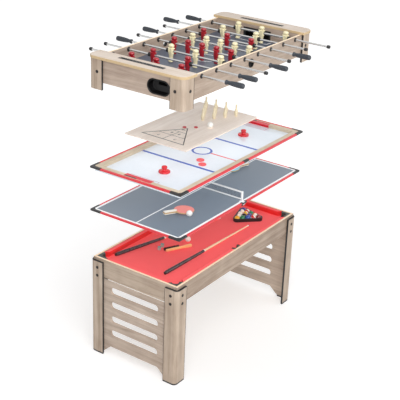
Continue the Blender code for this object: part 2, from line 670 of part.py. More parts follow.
lots = (bmesh.new(), bmesh.new())
for row in range(RACK_ROWS):
    for i in range(row + 1):
        spot = Vector((row * ROW_STEP - RACK_MIDDLE, (i - row / 2) * BALL_STEP, POOL_BALL_RADIUS))
        spin = Matrix.Rotation(math.radians(RACK_TURN_DEGREES), 4, "Z")
        bmesh.ops.create_uvsphere(lots[row % 2], u_segments=POOL_BALL_SEGMENTS, v_segments=POOL_BALL_RINGS,
                                  radius=POOL_BALL_RADIUS,
                                  matrix=Matrix.Translation(RACK_MATRIX @ spot) @ spin)
piece("racked_balls", combine(*lots, "UNION", self_crossing=True), BALL_GLOSS)

# Table brush: a wooden back and handle, lying on its side, with its bristles set in rows

brush_outline = [
    (0, 0), (BRUSH_HEAD_LENGTH, 0), (BRUSH_HEAD_LENGTH + BRUSH_BACK, BRUSH_HANDLE_SAG), (BRUSH_LENGTH, 0),
    (BRUSH_LENGTH, BRUSH_BACK), (BRUSH_HEAD_LENGTH + BRUSH_BACK, BRUSH_BACK - BRUSH_HANDLE_SAG / 2),
    (BRUSH_HEAD_LENGTH, BRUSH_BACK), (0, BRUSH_BACK),
]
brush = bmesh.new()
prism(brush, brush_outline, 0, BRUSH_WIDTH)

tufts = bmesh.new()
slice_x = (BRISTLE_MARGIN, BRUSH_HEAD_LENGTH - BRISTLE_MARGIN)
slice_z = (BRISTLE_MARGIN, BRUSH_WIDTH - BRISTLE_MARGIN)
root = BRUSH_BACK + BRISTLE_SLICE
grid = []
for i in range(BRISTLE_COLUMNS + 1):
    x = slice_x[0] + (slice_x[1] - slice_x[0]) * i / BRISTLE_COLUMNS
    heights = [slice_z[0] + (slice_z[1] - slice_z[0]) * j / BRISTLE_ROWS for j in range(BRISTLE_ROWS + 1)]
    grid.append([tufts.verts.new((x, root, z)) for z in heights])
for i in range(BRISTLE_COLUMNS):
    for j in range(BRISTLE_ROWS):
        tufts.faces.new((grid[i][j], grid[i][j + 1], grid[i + 1][j + 1], grid[i + 1][j]))
rim = [edge for edge in tufts.edges if edge.is_boundary]
pushed = bmesh.ops.extrude_edge_only(tufts, edges=rim)["geom"]
back = [item for item in pushed if isinstance(item, bmesh.types.BMVert)]
bmesh.ops.translate(tufts, verts=back, vec=(0, -BRISTLE_SLICE - FUSE_OVERLAP, 0))
back_rim = [item for item in pushed if isinstance(item, bmesh.types.BMEdge) and item.is_boundary]
bmesh.ops.edgeloop_fill(tufts, edges=back_rim)
cells = [face for face in tufts.faces if all(abs(vert.co.y - root) < WELD_DISTANCE for vert in face.verts)]
cells = bmesh.ops.triangulate(tufts, faces=cells)["faces"]
bmesh.ops.inset_individual(tufts, faces=cells, thickness=BRISTLE_SPACE / 2, use_even_offset=True)
middle_x, middle_z = sum(slice_x) / 2, sum(slice_z) / 2
for strand in bmesh.ops.extrude_discrete_faces(tufts, faces=cells)["faces"]:
    spot = strand.calc_center_median()
    lean = Vector((spot.x - middle_x, 0, spot.z - middle_z)) * BRISTLE_SPREAD_SHARE
    lean.z = 0
    bmesh.ops.translate(tufts, verts=strand.verts, vec=lean + Vector((0, BRISTLE_LENGTH, 0)))
bm = fuse(brush, tufts)
bmesh.ops.transform(bm, matrix=on_table(BRUSH_PLACE_SHARES, BED_TOP + SEAT_GAP, BRUSH_TURN_DEGREES),
                    verts=bm.verts)
piece("table_brush", bm, MAPLE)

# Table-tennis top: a printed board with a ball on it

tennis = level("tennis_level", 0, 0, TENNIS_TOP)
bm = bmesh.new()
box(bm, (-TOP_HALF_LENGTH, -TOP_HALF_WIDTH, -TENNIS_BOARD), (TOP_HALF_LENGTH, TOP_HALF_WIDTH, 0))
on_top = bmesh.new()
spot = on_table(TENNIS_BALL_PLACE_SHARES, TENNIS_BALL_RADIUS - FUSE_OVERLAP).translation
ball(on_top, TENNIS_BALL_RADIUS, BALL_SEGMENTS, BALL_RINGS, spot)
piece("tennis_board", fuse(bm, on_top), SLATE, tennis)

# Net: mesh between taped edges, on two posts whose clamps grip the edge of the board


def grid_lines(start, end, border, gaps, strand):
    """Edges of the strands between two borders, in order."""
    pitch = (end - start - 2 * border + strand) / gaps
    lines = [start]
    for i in range(gaps):
        opening = start + border + i * pitch
        lines += [opening, opening + pitch - strand]
    return lines + [end]


POST_Y = TOP_HALF_WIDTH + SEAT_GAP + NET_CLAMP_WALL - NET_CLAMP_LENGTH / 2
columns = grid_lines(-POST_Y, POST_Y, NET_TAPE, NET_COLUMNS, NET_STRAND)
rows = grid_lines(NET_FOOT, NET_TOP, NET_TAPE, NET_ROWS, NET_STRAND)
net = bmesh.new()
knots = [[net.verts.new((-NET_THICKNESS / 2, y, z)) for z in rows] for y in columns]
strands = []
for i in range(len(columns) - 1):
    for j in range(len(rows) - 1):
        if i % 2 == 0 or j % 2 == 0:
            strands.append(net.faces.new((knots[i][j], knots[i + 1][j], knots[i + 1][j + 1], knots[i][j + 1])))
pushed = bmesh.ops.extrude_face_region(net, geom=strands)["geom"]
far = [item for item in pushed if isinstance(item, bmesh.types.BMVert)]
bmesh.ops.translate(net, verts=far, vec=(NET_THICKNESS, 0, 0))

JAW_TOP = SEAT_GAP + NET_CLAMP_WALL
JAW_FOOT = -TENNIS_BOARD - JAW_TOP
posts = bmesh.new()
clamps = bmesh.new()
for side in (-1, 1):
    post_profile = [(NET_POST_RADIUS, JAW_TOP - FUSE_OVERLAP), (NET_POST_RADIUS, NET_TOP + NET_THICKNESS)]
    turned(posts, post_profile, NET_POST_SIDES, placed(0, side * POST_Y, 0))
    screw_profile = [(NET_SCREW_RADIUS, JAW_FOOT - NET_SCREW_LENGTH), (NET_SCREW_RADIUS, JAW_FOOT + FUSE_OVERLAP)]
    turned(posts, screw_profile, NET_POST_SIDES, placed(0, side * POST_Y, 0))
    gripped = TOP_HALF_WIDTH + SEAT_GAP
    outer, lip = gripped + NET_CLAMP_WALL, gripped + NET_CLAMP_WALL - NET_CLAMP_LENGTH
    clamp = [(lip, JAW_TOP), (outer, JAW_TOP), (outer, JAW_FOOT), (lip, JAW_FOOT),
             (lip, JAW_FOOT + NET_CLAMP_WALL), (gripped, JAW_FOOT + NET_CLAMP_WALL),
             (gripped, SEAT_GAP), (lip, SEAT_GAP)]
    prism(clamps, [(side * y, z) for y, z in clamp], -NET_CLAMP_WIDTH / 2, NET_CLAMP_WIDTH / 2, "X")
piece("net", fuse(fuse(net, posts), clamps), NET_CORD, tennis)

# Paddles: a blade between two handle scales, tipped down on its blade's far edge

handle_length = PADDLE_LENGTH - PADDLE_BLADE_LENGTH
half_handle = PADDLE_HANDLE_WIDTH / 2
throat = handle_length * PADDLE_THROAT_SHARE
blade_outline = [(0, -half_handle), (throat, -half_handle)]
for x, y in arc(0, 0, 1, -PADDLE_ROUND_DEGREES, PADDLE_ROUND_DEGREES, PADDLE_STEPS):
    blade_outline.append((PADDLE_LENGTH - PADDLE_BLADE_LENGTH * (1 - x) / 2, y * PADDLE_BLADE_WIDTH / 2))
blade_outline += [(throat, half_handle), (0, half_handle)]
scale_outline = [(x * handle_length, y * half_handle) for x, y in PADDLE_SCALE_OUTLINE_SHARES]
pivot_x = max(x for x, y in scale_outline)
PADDLE_TIP = math.atan2(PADDLE_SCALE_THICKNESS, PADDLE_LENGTH - pivot_x)
for name, shares, turn in zip(PADDLE_NAMES, PADDLE_PLACE_SHARES, PADDLE_TURNS_DEGREES):
    blade = bmesh.new()
    scales = bmesh.new()
    blade_top = PADDLE_SCALE_THICKNESS + PADDLE_BLADE_THICKNESS
    prism(blade, blade_outline, PADDLE_SCALE_THICKNESS, blade_top)
    prism(scales, scale_outline, 0, PADDLE_SCALE_THICKNESS + FUSE_OVERLAP)
    prism(scales, scale_outline, blade_top - FUSE_OVERLAP, blade_top + PADDLE_SCALE_THICKNESS)
    bm = fuse(blade, scales)
    # The paddle rocks on the front of its lower scale until the blade's far edge is down.
    pivot = on_table(shares, SEAT_GAP, turn) @ Matrix.Translation((pivot_x - PADDLE_LENGTH / 2, 0, 0))
    tip = pivot @ Matrix.Rotation(PADDLE_TIP, 4, "Y") @ Matrix.Translation((-pivot_x, 0, 0))
    bmesh.ops.transform(bm, matrix=tip, verts=bm.verts)
    piece(name, bm, RED_RUBBER if name == PADDLE_NAMES[0] else BLUE_RUBBER, tennis)

# Glide-hockey top: a glossy board with two strikers and two pucks, under a mitred frame
# that is let back for the goals

hockey = level("hockey_level", 0, 0, HOCKEY_TOP)
ICE = -HOCKEY_RAIL_HEIGHT - SEAT_GAP
bm = bmesh.new()
box(bm, (-TOP_HALF_LENGTH, -TOP_HALF_WIDTH, ICE - HOCKEY_BOARD), (TOP_HALF_LENGTH, TOP_HALF_WIDTH, ICE))
on_ice = bmesh.new()
for shares in STRIKER_PLACE_SHARES:
    turned(on_ice, scaled(STRIKER_PROFILE_SHARES, STRIKER_RADIUS, STRIKER_HEIGHT), DISC_SIDES,
           on_table(shares, ICE - FUSE_OVERLAP))
for shares in PUCK_PLACE_SHARES:
    turned(on_ice, [(PUCK_RADIUS, 0), (PUCK_RADIUS, PUCK_HEIGHT)], DISC_SIDES,
           on_table(shares, ICE - FUSE_OVERLAP))
piece("hockey_board", fuse(bm, on_ice), WHITE_BOARD, hockey)

inner_x, inner_y = TOP_HALF_LENGTH - HOCKEY_RAIL_WIDTH, TOP_HALF_WIDTH - HOCKEY_RAIL_WIDTH
goal_x, goal_y = inner_x + HOCKEY_GOAL_DEPTH, HOCKEY_GOAL_WIDTH / 2
quarter = [(inner_x, inner_y), (inner_x, goal_y), (goal_x, goal_y)]
rink_outline = [(-x, y) for x, y in reversed(quarter)] + quarter
rink_outline += [(-x, -y) for x, y in rink_outline]
bm = bmesh.new()
box(bm, (-TOP_HALF_LENGTH, -TOP_HALF_WIDTH, -HOCKEY_RAIL_HEIGHT), (TOP_HALF_LENGTH, TOP_HALF_WIDTH, 0))
rink = bmesh.new()
prism(rink, rink_outline, -HOCKEY_RAIL_HEIGHT - CUT_OVERRUN, CUT_OVERRUN)
piece("hockey_frame", cut(bm, rink), PALE_OAK, hockey)

# Bowling and shuffleboard: a loose board with ten pins, a ball and two pucks on it

board_x, board_y = BOARD_CENTRE_SHARES[0] * TABLE_LENGTH, BOARD_CENTRE_SHARES[1] * TABLE_WIDTH
board = level("board_level", board_x, board_y, BOARD_TOP)
bm = bmesh.new()
box(bm, (-BOARD_LENGTH / 2, -BOARD_WIDTH / 2, -BOARD_THICKNESS), (BOARD_LENGTH / 2, BOARD_WIDTH / 2, 0))
on_board = bmesh.new()
for row in range(PIN_ROWS):
    for i in range(row + 1):
        pin_x = PIN_HEAD_PLACE_SHARE * BOARD_LENGTH + row * PIN_PITCH * math.sqrt(3) / 2
        pin_y = (i - row / 2) * PIN_PITCH
        turned(on_board, scaled(PIN_PROFILE_SHARES, PIN_RADIUS, PIN_HEIGHT), PIN_SIDES,
               placed(pin_x, pin_y, -FUSE_OVERLAP))
ball(on_board, BOWLING_BALL_RADIUS, BALL_SEGMENTS, BALL_RINGS,
     (BOWLING_BALL_PLACE_SHARES[0] * BOARD_LENGTH, BOWLING_BALL_PLACE_SHARES[1] * BOARD_WIDTH,
      BOWLING_BALL_RADIUS - FUSE_OVERLAP))
for x_share, y_share in SHUFFLE_PUCK_PLACE_SHARES:
    turned(on_board, [(SHUFFLE_PUCK_RADIUS, 0), (SHUFFLE_PUCK_RADIUS, SHUFFLE_PUCK_HEIGHT)], DISC_SIDES,
           placed(x_share * BOARD_LENGTH, y_share * BOARD_WIDTH, -FUSE_OVERLAP))
piece("bowling_board", fuse(bm, on_board), PALE_OAK, board)

# Foosball cabinet: corner posts of the same L section as the legs

foosball = level("foosball_level", 0, 0, FOOSBALL_FOOT)
WALL_TOP = CAP_TOP - CAP_THICKNESS - SEAT_GAP
for sx, sy in CORNERS:
    bm = bmesh.new()
    loft(bm, [corner_ring(sx, sy, 0, 0), corner_ring(sx, sy, 0, WALL_TOP)])
    piece(f"post_{SIDE_NAMES[sy]}_{END_NAMES[sx]}", bm, OAK, foosball)

# Side walls: a board with eight flanged rod bearings and a ball-entry cup, all bored. The
# rods are spread so that the men of the outer ones just clear the goal walls.

WALL_INNER = RAIL_HALF_WIDTH - WALL_BOARD
GOAL_WALL = RAIL_HALF_LENGTH - RETURN_BOX_DEPTH
ROD_COUNT = len(ROD_MEN)
ROD_PITCH = 2 * (GOAL_WALL - MAN_REACH - SWING_CLEARANCE) / (ROD_COUNT - 1)
rod_places = [(k - (ROD_COUNT - 1) / 2) * ROD_PITCH for k in range(ROD_COUNT)]
ENTRY_X = (rod_places[3] + rod_places[4]) / 2
BORE_RADIUS = (ROD_RADIUS + SEAT_GAP) / math.cos(math.pi / ROD_SIDES)
bearing_profile = [
    (BEARING_RADIUS, -WALL_BOARD - BEARING_PROUD), (BEARING_RADIUS, -FUSE_OVERLAP),
    (BEARING_FLANGE_RADIUS, -FUSE_OVERLAP), (BEARING_FLANGE_RADIUS, BEARING_FLANGE),
    (BEARING_RADIUS, BEARING_PROUD),
]
entry_profile = [
    (ENTRY_CUP_RADIUS + ENTRY_CUP_FLANGE, -FUSE_OVERLAP),
    (ENTRY_CUP_RADIUS + ENTRY_CUP_FLANGE, ENTRY_CUP_PROUD / 2), (ENTRY_CUP_RADIUS, ENTRY_CUP_PROUD),
]
for side in (-1, 1):
    bm = bmesh.new()
    inner, outer = sorted((side * WALL_INNER, side * RAIL_HALF_WIDTH))
    box(bm, (-RAIL_HALF_LENGTH, inner, WALL_FOOT), (RAIL_HALF_LENGTH, outer, WALL_TOP))
    bosses = bmesh.new()
    bores = bmesh.new()
    reach = RAIL_HALF_WIDTH + ENTRY_CUP_PROUD + CUT_OVERRUN
    inside = WALL_INNER - BEARING_PROUD - CUT_OVERRUN
    for rod_x in rod_places:
        seat = placed(rod_x, side * RAIL_HALF_WIDTH, ROD_HEIGHT) @ across_table(side)
        turned(bosses, bearing_profile, ROD_SIDES, seat)
        bore = polygon(rod_x, ROD_HEIGHT, BORE_RADIUS, ROD_SIDES)
        prism(bores, bore, side * inside, side * reach, "Y")
    seat = placed(ENTRY_X, side * RAIL_HALF_WIDTH, ENTRY_CUP_LEVEL) @ across_table(side)
    turned(bosses, entry_profile, POCKET_SIDES, seat)
    prism(bores, polygon(ENTRY_X, ENTRY_CUP_LEVEL, ENTRY_CUP_BORE, POCKET_SIDES),
          side * inside, side * reach, "Y")
    piece(f"side_wall_{SIDE_NAMES[side]}", cut(fuse(bm, bosses), bores), OAK, foosball)

# Return boxes: at each end a channel of the goal wall, a floor and the outer end wall.
# A goal drops the ball in, and it is taken out through the oval cup.

FIELD_TOP = ROD_HEIGHT - MAN_REACH - FIELD_CLEARANCE
CUP_Y = RETURN_CUP_PLACE_SHARE * TABLE_WIDTH
end_half = WALL_INNER - SEAT_GAP
channel = [
    (GOAL_WALL, WALL_FOOT), (RAIL_HALF_LENGTH, WALL_FOOT), (RAIL_HALF_LENGTH, WALL_TOP),
    (RAIL_HALF_LENGTH - WALL_BOARD, WALL_TOP), (RAIL_HALF_LENGTH - WALL_BOARD, WALL_FOOT + TRAY_BOARD),
    (GOAL_WALL + WALL_BOARD, WALL_FOOT + TRAY_BOARD), (GOAL_WALL + WALL_BOARD, WALL_TOP),
    (GOAL_WALL, WALL_TOP),
]
for side in (-1, 1):
    bm = bmesh.new()
    prism(bm, [(side * x, z) for x, z in channel], -end_half, end_half, "Y")
    holes = bmesh.new()
    low_x, high_x = sorted((side * (RAIL_HALF_LENGTH - WALL_BOARD), side * RAIL_HALF_LENGTH))
    cup_outline = oval(side * CUP_Y, RETURN_CUP_LEVEL, RETURN_CUP_LENGTH, RETURN_CUP_HEIGHT, RETURN_CUP_STEPS)
    prism(holes, cup_outline, low_x - CUT_OVERRUN, high_x + CUT_OVERRUN, "X")
    low_x, high_x = sorted((side * GOAL_WALL, side * (GOAL_WALL + WALL_BOARD)))
    box(holes, (low_x - CUT_OVERRUN, -GOAL_WIDTH / 2, FIELD_TOP),
        (high_x + CUT_OVERRUN, GOAL_WIDTH / 2, FIELD_TOP + GOAL_HEIGHT))
    piece(f"return_box_{END_NAMES[side]}", cut(bm, holes), OAK, foosball)

bm = bmesh.new()
field_half_length = GOAL_WALL - SEAT_GAP
box(bm, (-field_half_length, -end_half, FIELD_TOP - FIELD_BOARD), (field_half_length, end_half, FIELD_TOP))
piece("playfield", bm, SLATE, foosball)

# End caps: a board over each end with rounded outer corners and a groove for the score

CAP_HALF_WIDTH = TABLE_WIDTH / 2 + CAP_OVERHANG
CAP_OUTER = TABLE_LENGTH / 2 + CAP_OVERHANG
SLOT_X = CAP_OUTER - SCORE_SLOT_INSET
round_x, round_y = CAP_OUTER - CAP_CORNER_RADIUS, CAP_HALF_WIDTH - CAP_CORNER_RADIUS
cap_outline = [(GOAL_WALL, -CAP_HALF_WIDTH)]
cap_outline += arc(round_x, -round_y, CAP_CORNER_RADIUS, -90, 0, LEG_CORNER_STEPS)
cap_outline += arc(round_x, round_y, CAP_CORNER_RADIUS, 0, 90, LEG_CORNER_STEPS)
cap_outline.append((GOAL_WALL, CAP_HALF_WIDTH))
for side in (-1, 1):
    bm = bmesh.new()
    prism(bm, [(side * x, y) for x, y in cap_outline], CAP_TOP - CAP_THICKNESS, CAP_TOP)
    groove = bmesh.new()
    box(groove, (side * SLOT_X - SCORE_SLOT_WIDTH / 2, -SCORE_SLOT_LENGTH / 2, CAP_TOP - SCORE_SLOT_DEPTH),
        (side * SLOT_X + SCORE_SLOT_WIDTH / 2, SCORE_SLOT_LENGTH / 2, CAP_TOP + CUT_OVERRUN))
    piece(f"end_cap_{END_NAMES[side]}", cut(bm, groove), PALE_OAK, foosball)

# Score beads: ten barrels in a row that lie in the groove and slide along it

bead_profile = []
for i in range(SCORE_BEAD_COUNT):
    start = i * SCORE_BEAD_LENGTH
    bead_profile += [(SCORE_BEAD_NECK_RADIUS, start), (SCORE_BEAD_RADIUS, start + SCORE_BEAD_LENGTH / 2)]
bead_profile.append((SCORE_BEAD_NECK_RADIUS, SCORE_BEAD_COUNT * SCORE_BEAD_LENGTH))
for side in (-1, 1):
    bm = bmesh.new()
    turned(bm, bead_profile, SCORE_BEAD_SIDES, across_table(1))
    rest = (side * SLOT_X, SEAT_GAP - SCORE_SLOT_LENGTH / 2,
            CAP_TOP - SCORE_SLOT_DEPTH + SEAT_GAP + SCORE_BEAD_RADIUS)
    piece(f"score_beads_{END_NAMES[side]}", bm, BLACK_PLASTIC, foosball, rest)

# Return cups: a flanged oval dish in each end wall, with a window to the return box

for side in (-1, 1):
    wall_x, inner_x = side * RAIL_HALF_LENGTH, side * (RAIL_HALF_LENGTH - RETURN_CUP_DEPTH)
    rings = []
    for grow, x in ((-SEAT_GAP, inner_x), (-SEAT_GAP, wall_x + side * SEAT_GAP),
                    (RETURN_CUP_FLANGE, wall_x + side * SEAT_GAP),
                    (RETURN_CUP_FLANGE, wall_x + side * RETURN_CUP_WALL),
                    (-RETURN_CUP_WALL, wall_x + side * RETURN_CUP_WALL),
                    (-RETURN_CUP_WALL * 2, inner_x + side * RETURN_CUP_WALL)):
        outline = oval(side * CUP_Y, RETURN_CUP_LEVEL, RETURN_CUP_LENGTH + 2 * grow,
                       RETURN_CUP_HEIGHT + 2 * grow, RETURN_CUP_STEPS)
        rings.append([(x, y, z) for y, z in outline])
    bm = bmesh.new()
    loft(bm, rings)
    window = bmesh.new()
    low_x, high_x = sorted((inner_x - side * CUT_OVERRUN, inner_x + side * (RETURN_CUP_WALL + CUT_OVERRUN)))
    box(window, (low_x, side * CUP_Y - RETURN_WINDOW_LENGTH / 2, RETURN_CUP_LEVEL),
        (high_x, side * CUP_Y + RETURN_WINDOW_LENGTH / 2, RETURN_CUP_LEVEL + RETURN_WINDOW_HEIGHT))
    piece(f"return_cup_{END_NAMES[side]}", cut(bm, window), BLACK_PLASTIC, foosball)


def man(bm, y, turn_degrees):
    """Player figure on the rod, lofted from the feet to the crown."""
    sections = [(share * MAN_REACH, depth, width) for share, depth, width in MAN_LEG_SECTION_SHARES]
    sections += [(share * MAN_HEAD_HEIGHT, depth, width) for share, depth, width in MAN_HEAD_SECTION_SHARES]
    rings = []
    for number, (z, depth_share, width_share) in enumerate(sections):
        middle = MAN_FOOT_SHIFT if number < 2 else 0
        half_depth, half_width = depth_share * MAN_DEPTH, width_share * MAN_WIDTH
        side = half_depth * MAN_SIDE_SHARE
        plan = [(-half_depth, -half_width / 2), (-half_depth, half_width / 2), (side, half_width),
                (half_depth, half_width / 2), (half_depth, -half_width / 2), (side, -half_width)]
        rings.append([placed(0, y, 0, turn_degrees) @ Vector((middle + x, across, z)) for x, across in plan])
    loft(bm, rings)


def outer_man(men):
    """Distance from the rod's middle to its outermost man's middle."""
    return MAN_SPACINGS[men] * (men - 1) / 2


def bumper_start(men):
    """Distance from the rod's middle to the near face of each bumper."""
    return outer_man(men) + MAN_WIDTH / 2 + BUMPER_SEAT


def free_travel(men):
    """How far a rod slides each way before its bumper meets the bearing."""
    return WALL_INNER - BEARING_PROUD - STOP_CLEARANCE - BUMPER_LENGTH - bumper_start(men)


# Rods: a steel rod with its men, a fixed stop, a grip on the player's side and a cap on
# the other. The second bumper is a loose rubber ring. A rod's origin is on its axis.

HANDLE_START = RAIL_HALF_WIDTH + BEARING_PROUD + STOP_CLEARANCE + free_travel(min(ROD_MEN))
for k in range(ROD_COUNT):
    men, grip_side = ROD_MEN[k], ROD_GRIP_SIDES[k]
    rest = (rod_places[k], ROD_PUSH_SHARES[k] * free_travel(men), ROD_HEIGHT)
    rod_end = HANDLE_START + ROD_CAP_LENGTH / 2
    bm = bmesh.new()
    turned(bm, [(ROD_RADIUS, -rod_end), (ROD_RADIUS, rod_end)], ROD_SIDES, across_table(1))
    fitted = bmesh.new()
    for i in range(men):
        man(fitted, i * MAN_SPACINGS[men] - outer_man(men), 0 if grip_side < 0 else 180)
    stop = [(BUMPER_RADIUS, bumper_start(men)), (BUMPER_RADIUS, bumper_start(men) + BUMPER_LENGTH)]
    turned(fitted, stop, ROD_SIDES, across_table(-1))
    turned(fitted, scaled(GRIP_PROFILE_SHARES, GRIP_RADIUS, GRIP_LENGTH), ROD_SIDES,
           placed(0, grip_side * HANDLE_START, 0) @ across_table(grip_side))
    turned(fitted, scaled(ROD_CAP_PROFILE_SHARES, ROD_CAP_RADIUS, ROD_CAP_LENGTH), ROD_SIDES,
           placed(0, -grip_side * HANDLE_START, 0) @ across_table(-grip_side))
    piece(f"rod_{k + 1}", fuse(bm, fitted), STEEL, foosball, rest)

    bm = bmesh.new()
    sleeve = [(BORE_RADIUS, bumper_start(men)), (BUMPER_RADIUS, bumper_start(men)),
              (BUMPER_RADIUS, bumper_start(men) + BUMPER_LENGTH),
              (BORE_RADIUS, bumper_start(men) + BUMPER_LENGTH), (BORE_RADIUS, bumper_start(men))]
    turned(bm, sleeve, ROD_SIDES, across_table(1))
    piece(f"bumper_{k + 1}", bm, RUBBER, foosball, rest)
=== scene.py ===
"""Multi game table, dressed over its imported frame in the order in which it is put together.

Metres, +Z up, X along the length. The base and its pool bed come first, then each lifted
top with the game pieces that lie on it, and last the view.
"""

import math
import random

import bmesh
import bpy
from mathutils import Matrix, Vector


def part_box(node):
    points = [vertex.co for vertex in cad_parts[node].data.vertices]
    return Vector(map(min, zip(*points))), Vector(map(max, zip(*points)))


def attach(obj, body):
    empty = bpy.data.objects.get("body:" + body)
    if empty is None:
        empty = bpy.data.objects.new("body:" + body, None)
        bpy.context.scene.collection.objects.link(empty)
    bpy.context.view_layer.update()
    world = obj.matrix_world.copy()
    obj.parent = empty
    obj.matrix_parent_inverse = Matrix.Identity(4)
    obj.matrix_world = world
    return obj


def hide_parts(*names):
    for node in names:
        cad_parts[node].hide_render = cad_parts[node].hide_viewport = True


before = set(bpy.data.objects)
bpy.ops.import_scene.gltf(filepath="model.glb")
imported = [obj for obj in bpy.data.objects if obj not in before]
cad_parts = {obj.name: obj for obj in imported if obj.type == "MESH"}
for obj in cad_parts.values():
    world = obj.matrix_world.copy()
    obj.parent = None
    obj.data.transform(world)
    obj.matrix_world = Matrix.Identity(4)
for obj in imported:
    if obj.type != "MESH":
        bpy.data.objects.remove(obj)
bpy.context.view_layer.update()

# Legs. Each is an L-shaped corner of 12 mm board faced with a pale oak print, bent round a
# soft outer corner. A black pad is pinned under it, black strip closes its top and its two
# inner ends, and four black bolts pull it onto the rails.

TABLE_HALF = Vector((0.686, 0.3365))
CORNERS = [(sx, sy) for sx in (-1, 1) for sy in (-1, 1)]
END_NAMES = {-1: "left", 1: "right"}
SIDE_NAMES = {-1: "front", 1: "back"}
LEG_BOARD = 0.012
LEG_CORNER_RADIUS = 0.026
LEG_CORNER_STEPS = 16
FOOT_PAD = 0.010
EDGE_STRIP = 0.0016
EDGE_STRIP_PROUD = 0.0005
LEG_CAP = 0.004
CAP_STRIP_PROUD = 0.0008
STRIP_ROUNDING = 0.0008
BOLT_PROFILE = ((0.0030, 0.0008), (0.0040, 0.0022), (0.0070, 0.0026), (0.0094, 0.0018), (0.0100, 0),
                (0.0090, -0.0004))
BOLT_OFFSET = 0.052
BOLT_HEIGHTS = (0.619, 0.5635)
BOARD_EDGE = 0.0010
SMOOTH_ANGLE = math.radians(35)
GRAIN_UPRIGHT = (42, 42, 2.0)
NOISE_MIDDLE = (0.3, 0.7)
GRAIN_BANDS = 0.9
GRAIN_PORES = 9
GRAIN_CLOUDS = 7
PORE_SHARE = 0.35
CLOUD_SHARE = 0.25
GRAIN_CONTRAST = (0.36, 0.64)
GRAIN_ROUGHNESS = (0.58, 0.42)
SPECKLE_CLOUDS = 9
SPECKLE_CLOUD_SHARE = 0.4


def paint(red, green, blue):
    """Linear colour of a finish that is seen as these 0 to 255 values."""
    shares = [value / 255 for value in (red, green, blue)]
    return (*[s / 12.92 if s < 0.04 else ((s + 0.055) / 1.055) ** 2.4 for s in shares], 1)


def node(tree, kind, links=(), **settings):
    """Shader node with its settings, its values and what feeds it."""
    made = tree.nodes.new("ShaderNode" + kind)
    for name, value in settings.items():
        setattr(made, name, value)
    for socket, value in dict(links).items():
        if isinstance(value, bpy.types.NodeSocket):
            tree.links.new(value, made.inputs[socket])
        else:
            made.inputs[socket].default_value = value
    return made


def effect(name, inputs):
    """Node group that puts out a colour, a roughness and a height."""
    made = bpy.data.node_groups.new(name, "ShaderNodeTree")
    for title, value in inputs.items():
        kind = {3: "NodeSocketVector", 4: "NodeSocketColor"}.get(len(value), "NodeSocketFloat")
        socket = made.interface.new_socket(title, in_out="INPUT", socket_type=kind)
        socket.default_value = value if len(value) > 1 else value[0]
    for title, kind in (("Color", "Color"), ("Roughness", "Float"), ("Height", "Float")):
        made.interface.new_socket(title, in_out="OUTPUT", socket_type="NodeSocket" + kind)
    return made, made.nodes.new("NodeGroupInput").outputs, made.nodes.new("NodeGroupOutput").inputs


def remap(tree, value, low, high):
    """Middle of a noise, spread from one value to another."""
    return node(tree, "MapRange", dict(enumerate((value, *NOISE_MIDDLE, low, high)))).outputs[0]


def maths(tree, operation, *values):
    """Result of one sum on numbers and sockets."""
    return node(tree, "Math", dict(enumerate(values)), operation=operation).outputs[0]


def noise(tree, place, scale, detail=2, **more):
    """Factor of a noise over a place."""
    return node(tree, "TexNoise", {"Vector": place, "Scale": scale, "Detail": detail, **more}).outputs[0]


oak_grain, given, put = effect("oak_grain", {
    "Stretch": (45, 45, 2.2), "Shift": (0, 0, 0),
    "Pale": paint(205, 188, 170), "Dark": paint(160, 138, 118)})
spot = node(oak_grain, "TexCoord").outputs["Object"]
spot = node(oak_grain, "VectorMath", {0: spot, 1: given["Shift"]}, operation="ADD").outputs[0]
drawn = node(oak_grain, "VectorMath", {0: spot, 1: given["Stretch"]}, operation="MULTIPLY").outputs[0]
bands = noise(oak_grain, drawn, GRAIN_BANDS, 4, Distortion=0.8)
pores = noise(oak_grain, drawn, GRAIN_PORES, 5, Roughness=0.7)
clouds = noise(oak_grain, spot, GRAIN_CLOUDS)
grain = node(oak_grain, "Mix", {0: PORE_SHARE, 2: bands, 3: pores}).outputs[0]
grain = node(oak_grain, "Mix", {0: CLOUD_SHARE, 2: grain, 3: clouds}).outputs[0]
share = node(oak_grain, "MapRange", dict(enumerate((grain, *GRAIN_CONTRAST)))).outputs[0]
tone = node(oak_grain, "Mix", {0: share, 6: given["Dark"], 7: given["Pale"]}, data_type="RGBA")
oak_grain.links.new(tone.outputs[2], put["Color"])
oak_grain.links.new(remap(oak_grain, pores, *GRAIN_ROUGHNESS), put["Roughness"])
oak_grain.links.new(grain, put["Height"])

speckle, given, put = effect("speckle", {
    "Color": (0.5, 0.5, 0.5, 1), "Spread": (0.06,), "Rough": (0.4,), "Rough Spread": (0.06,),
    "Scale": (60,)})
spot = node(speckle, "TexCoord").outputs["Object"]
fine = noise(speckle, spot, given["Scale"], 5, Roughness=0.65)
broad = noise(speckle, spot, SPECKLE_CLOUDS)
mixed = node(speckle, "Mix", {0: SPECKLE_CLOUD_SHARE, 2: fine, 3: broad}).outputs[0]
centred = remap(speckle, mixed, -1.0, 1.0)
swing = maths(speckle, "MULTIPLY_ADD", centred, given["Spread"], 1.0)
tone = node(speckle, "VectorMath", {0: given["Color"], "Scale": swing}, operation="SCALE").outputs[0]
rough = maths(speckle, "MULTIPLY_ADD", centred, given["Rough Spread"], given["Rough"])
speckle.links.new(tone, put["Color"])
speckle.links.new(rough, put["Roughness"])
speckle.links.new(fine, put["Height"])


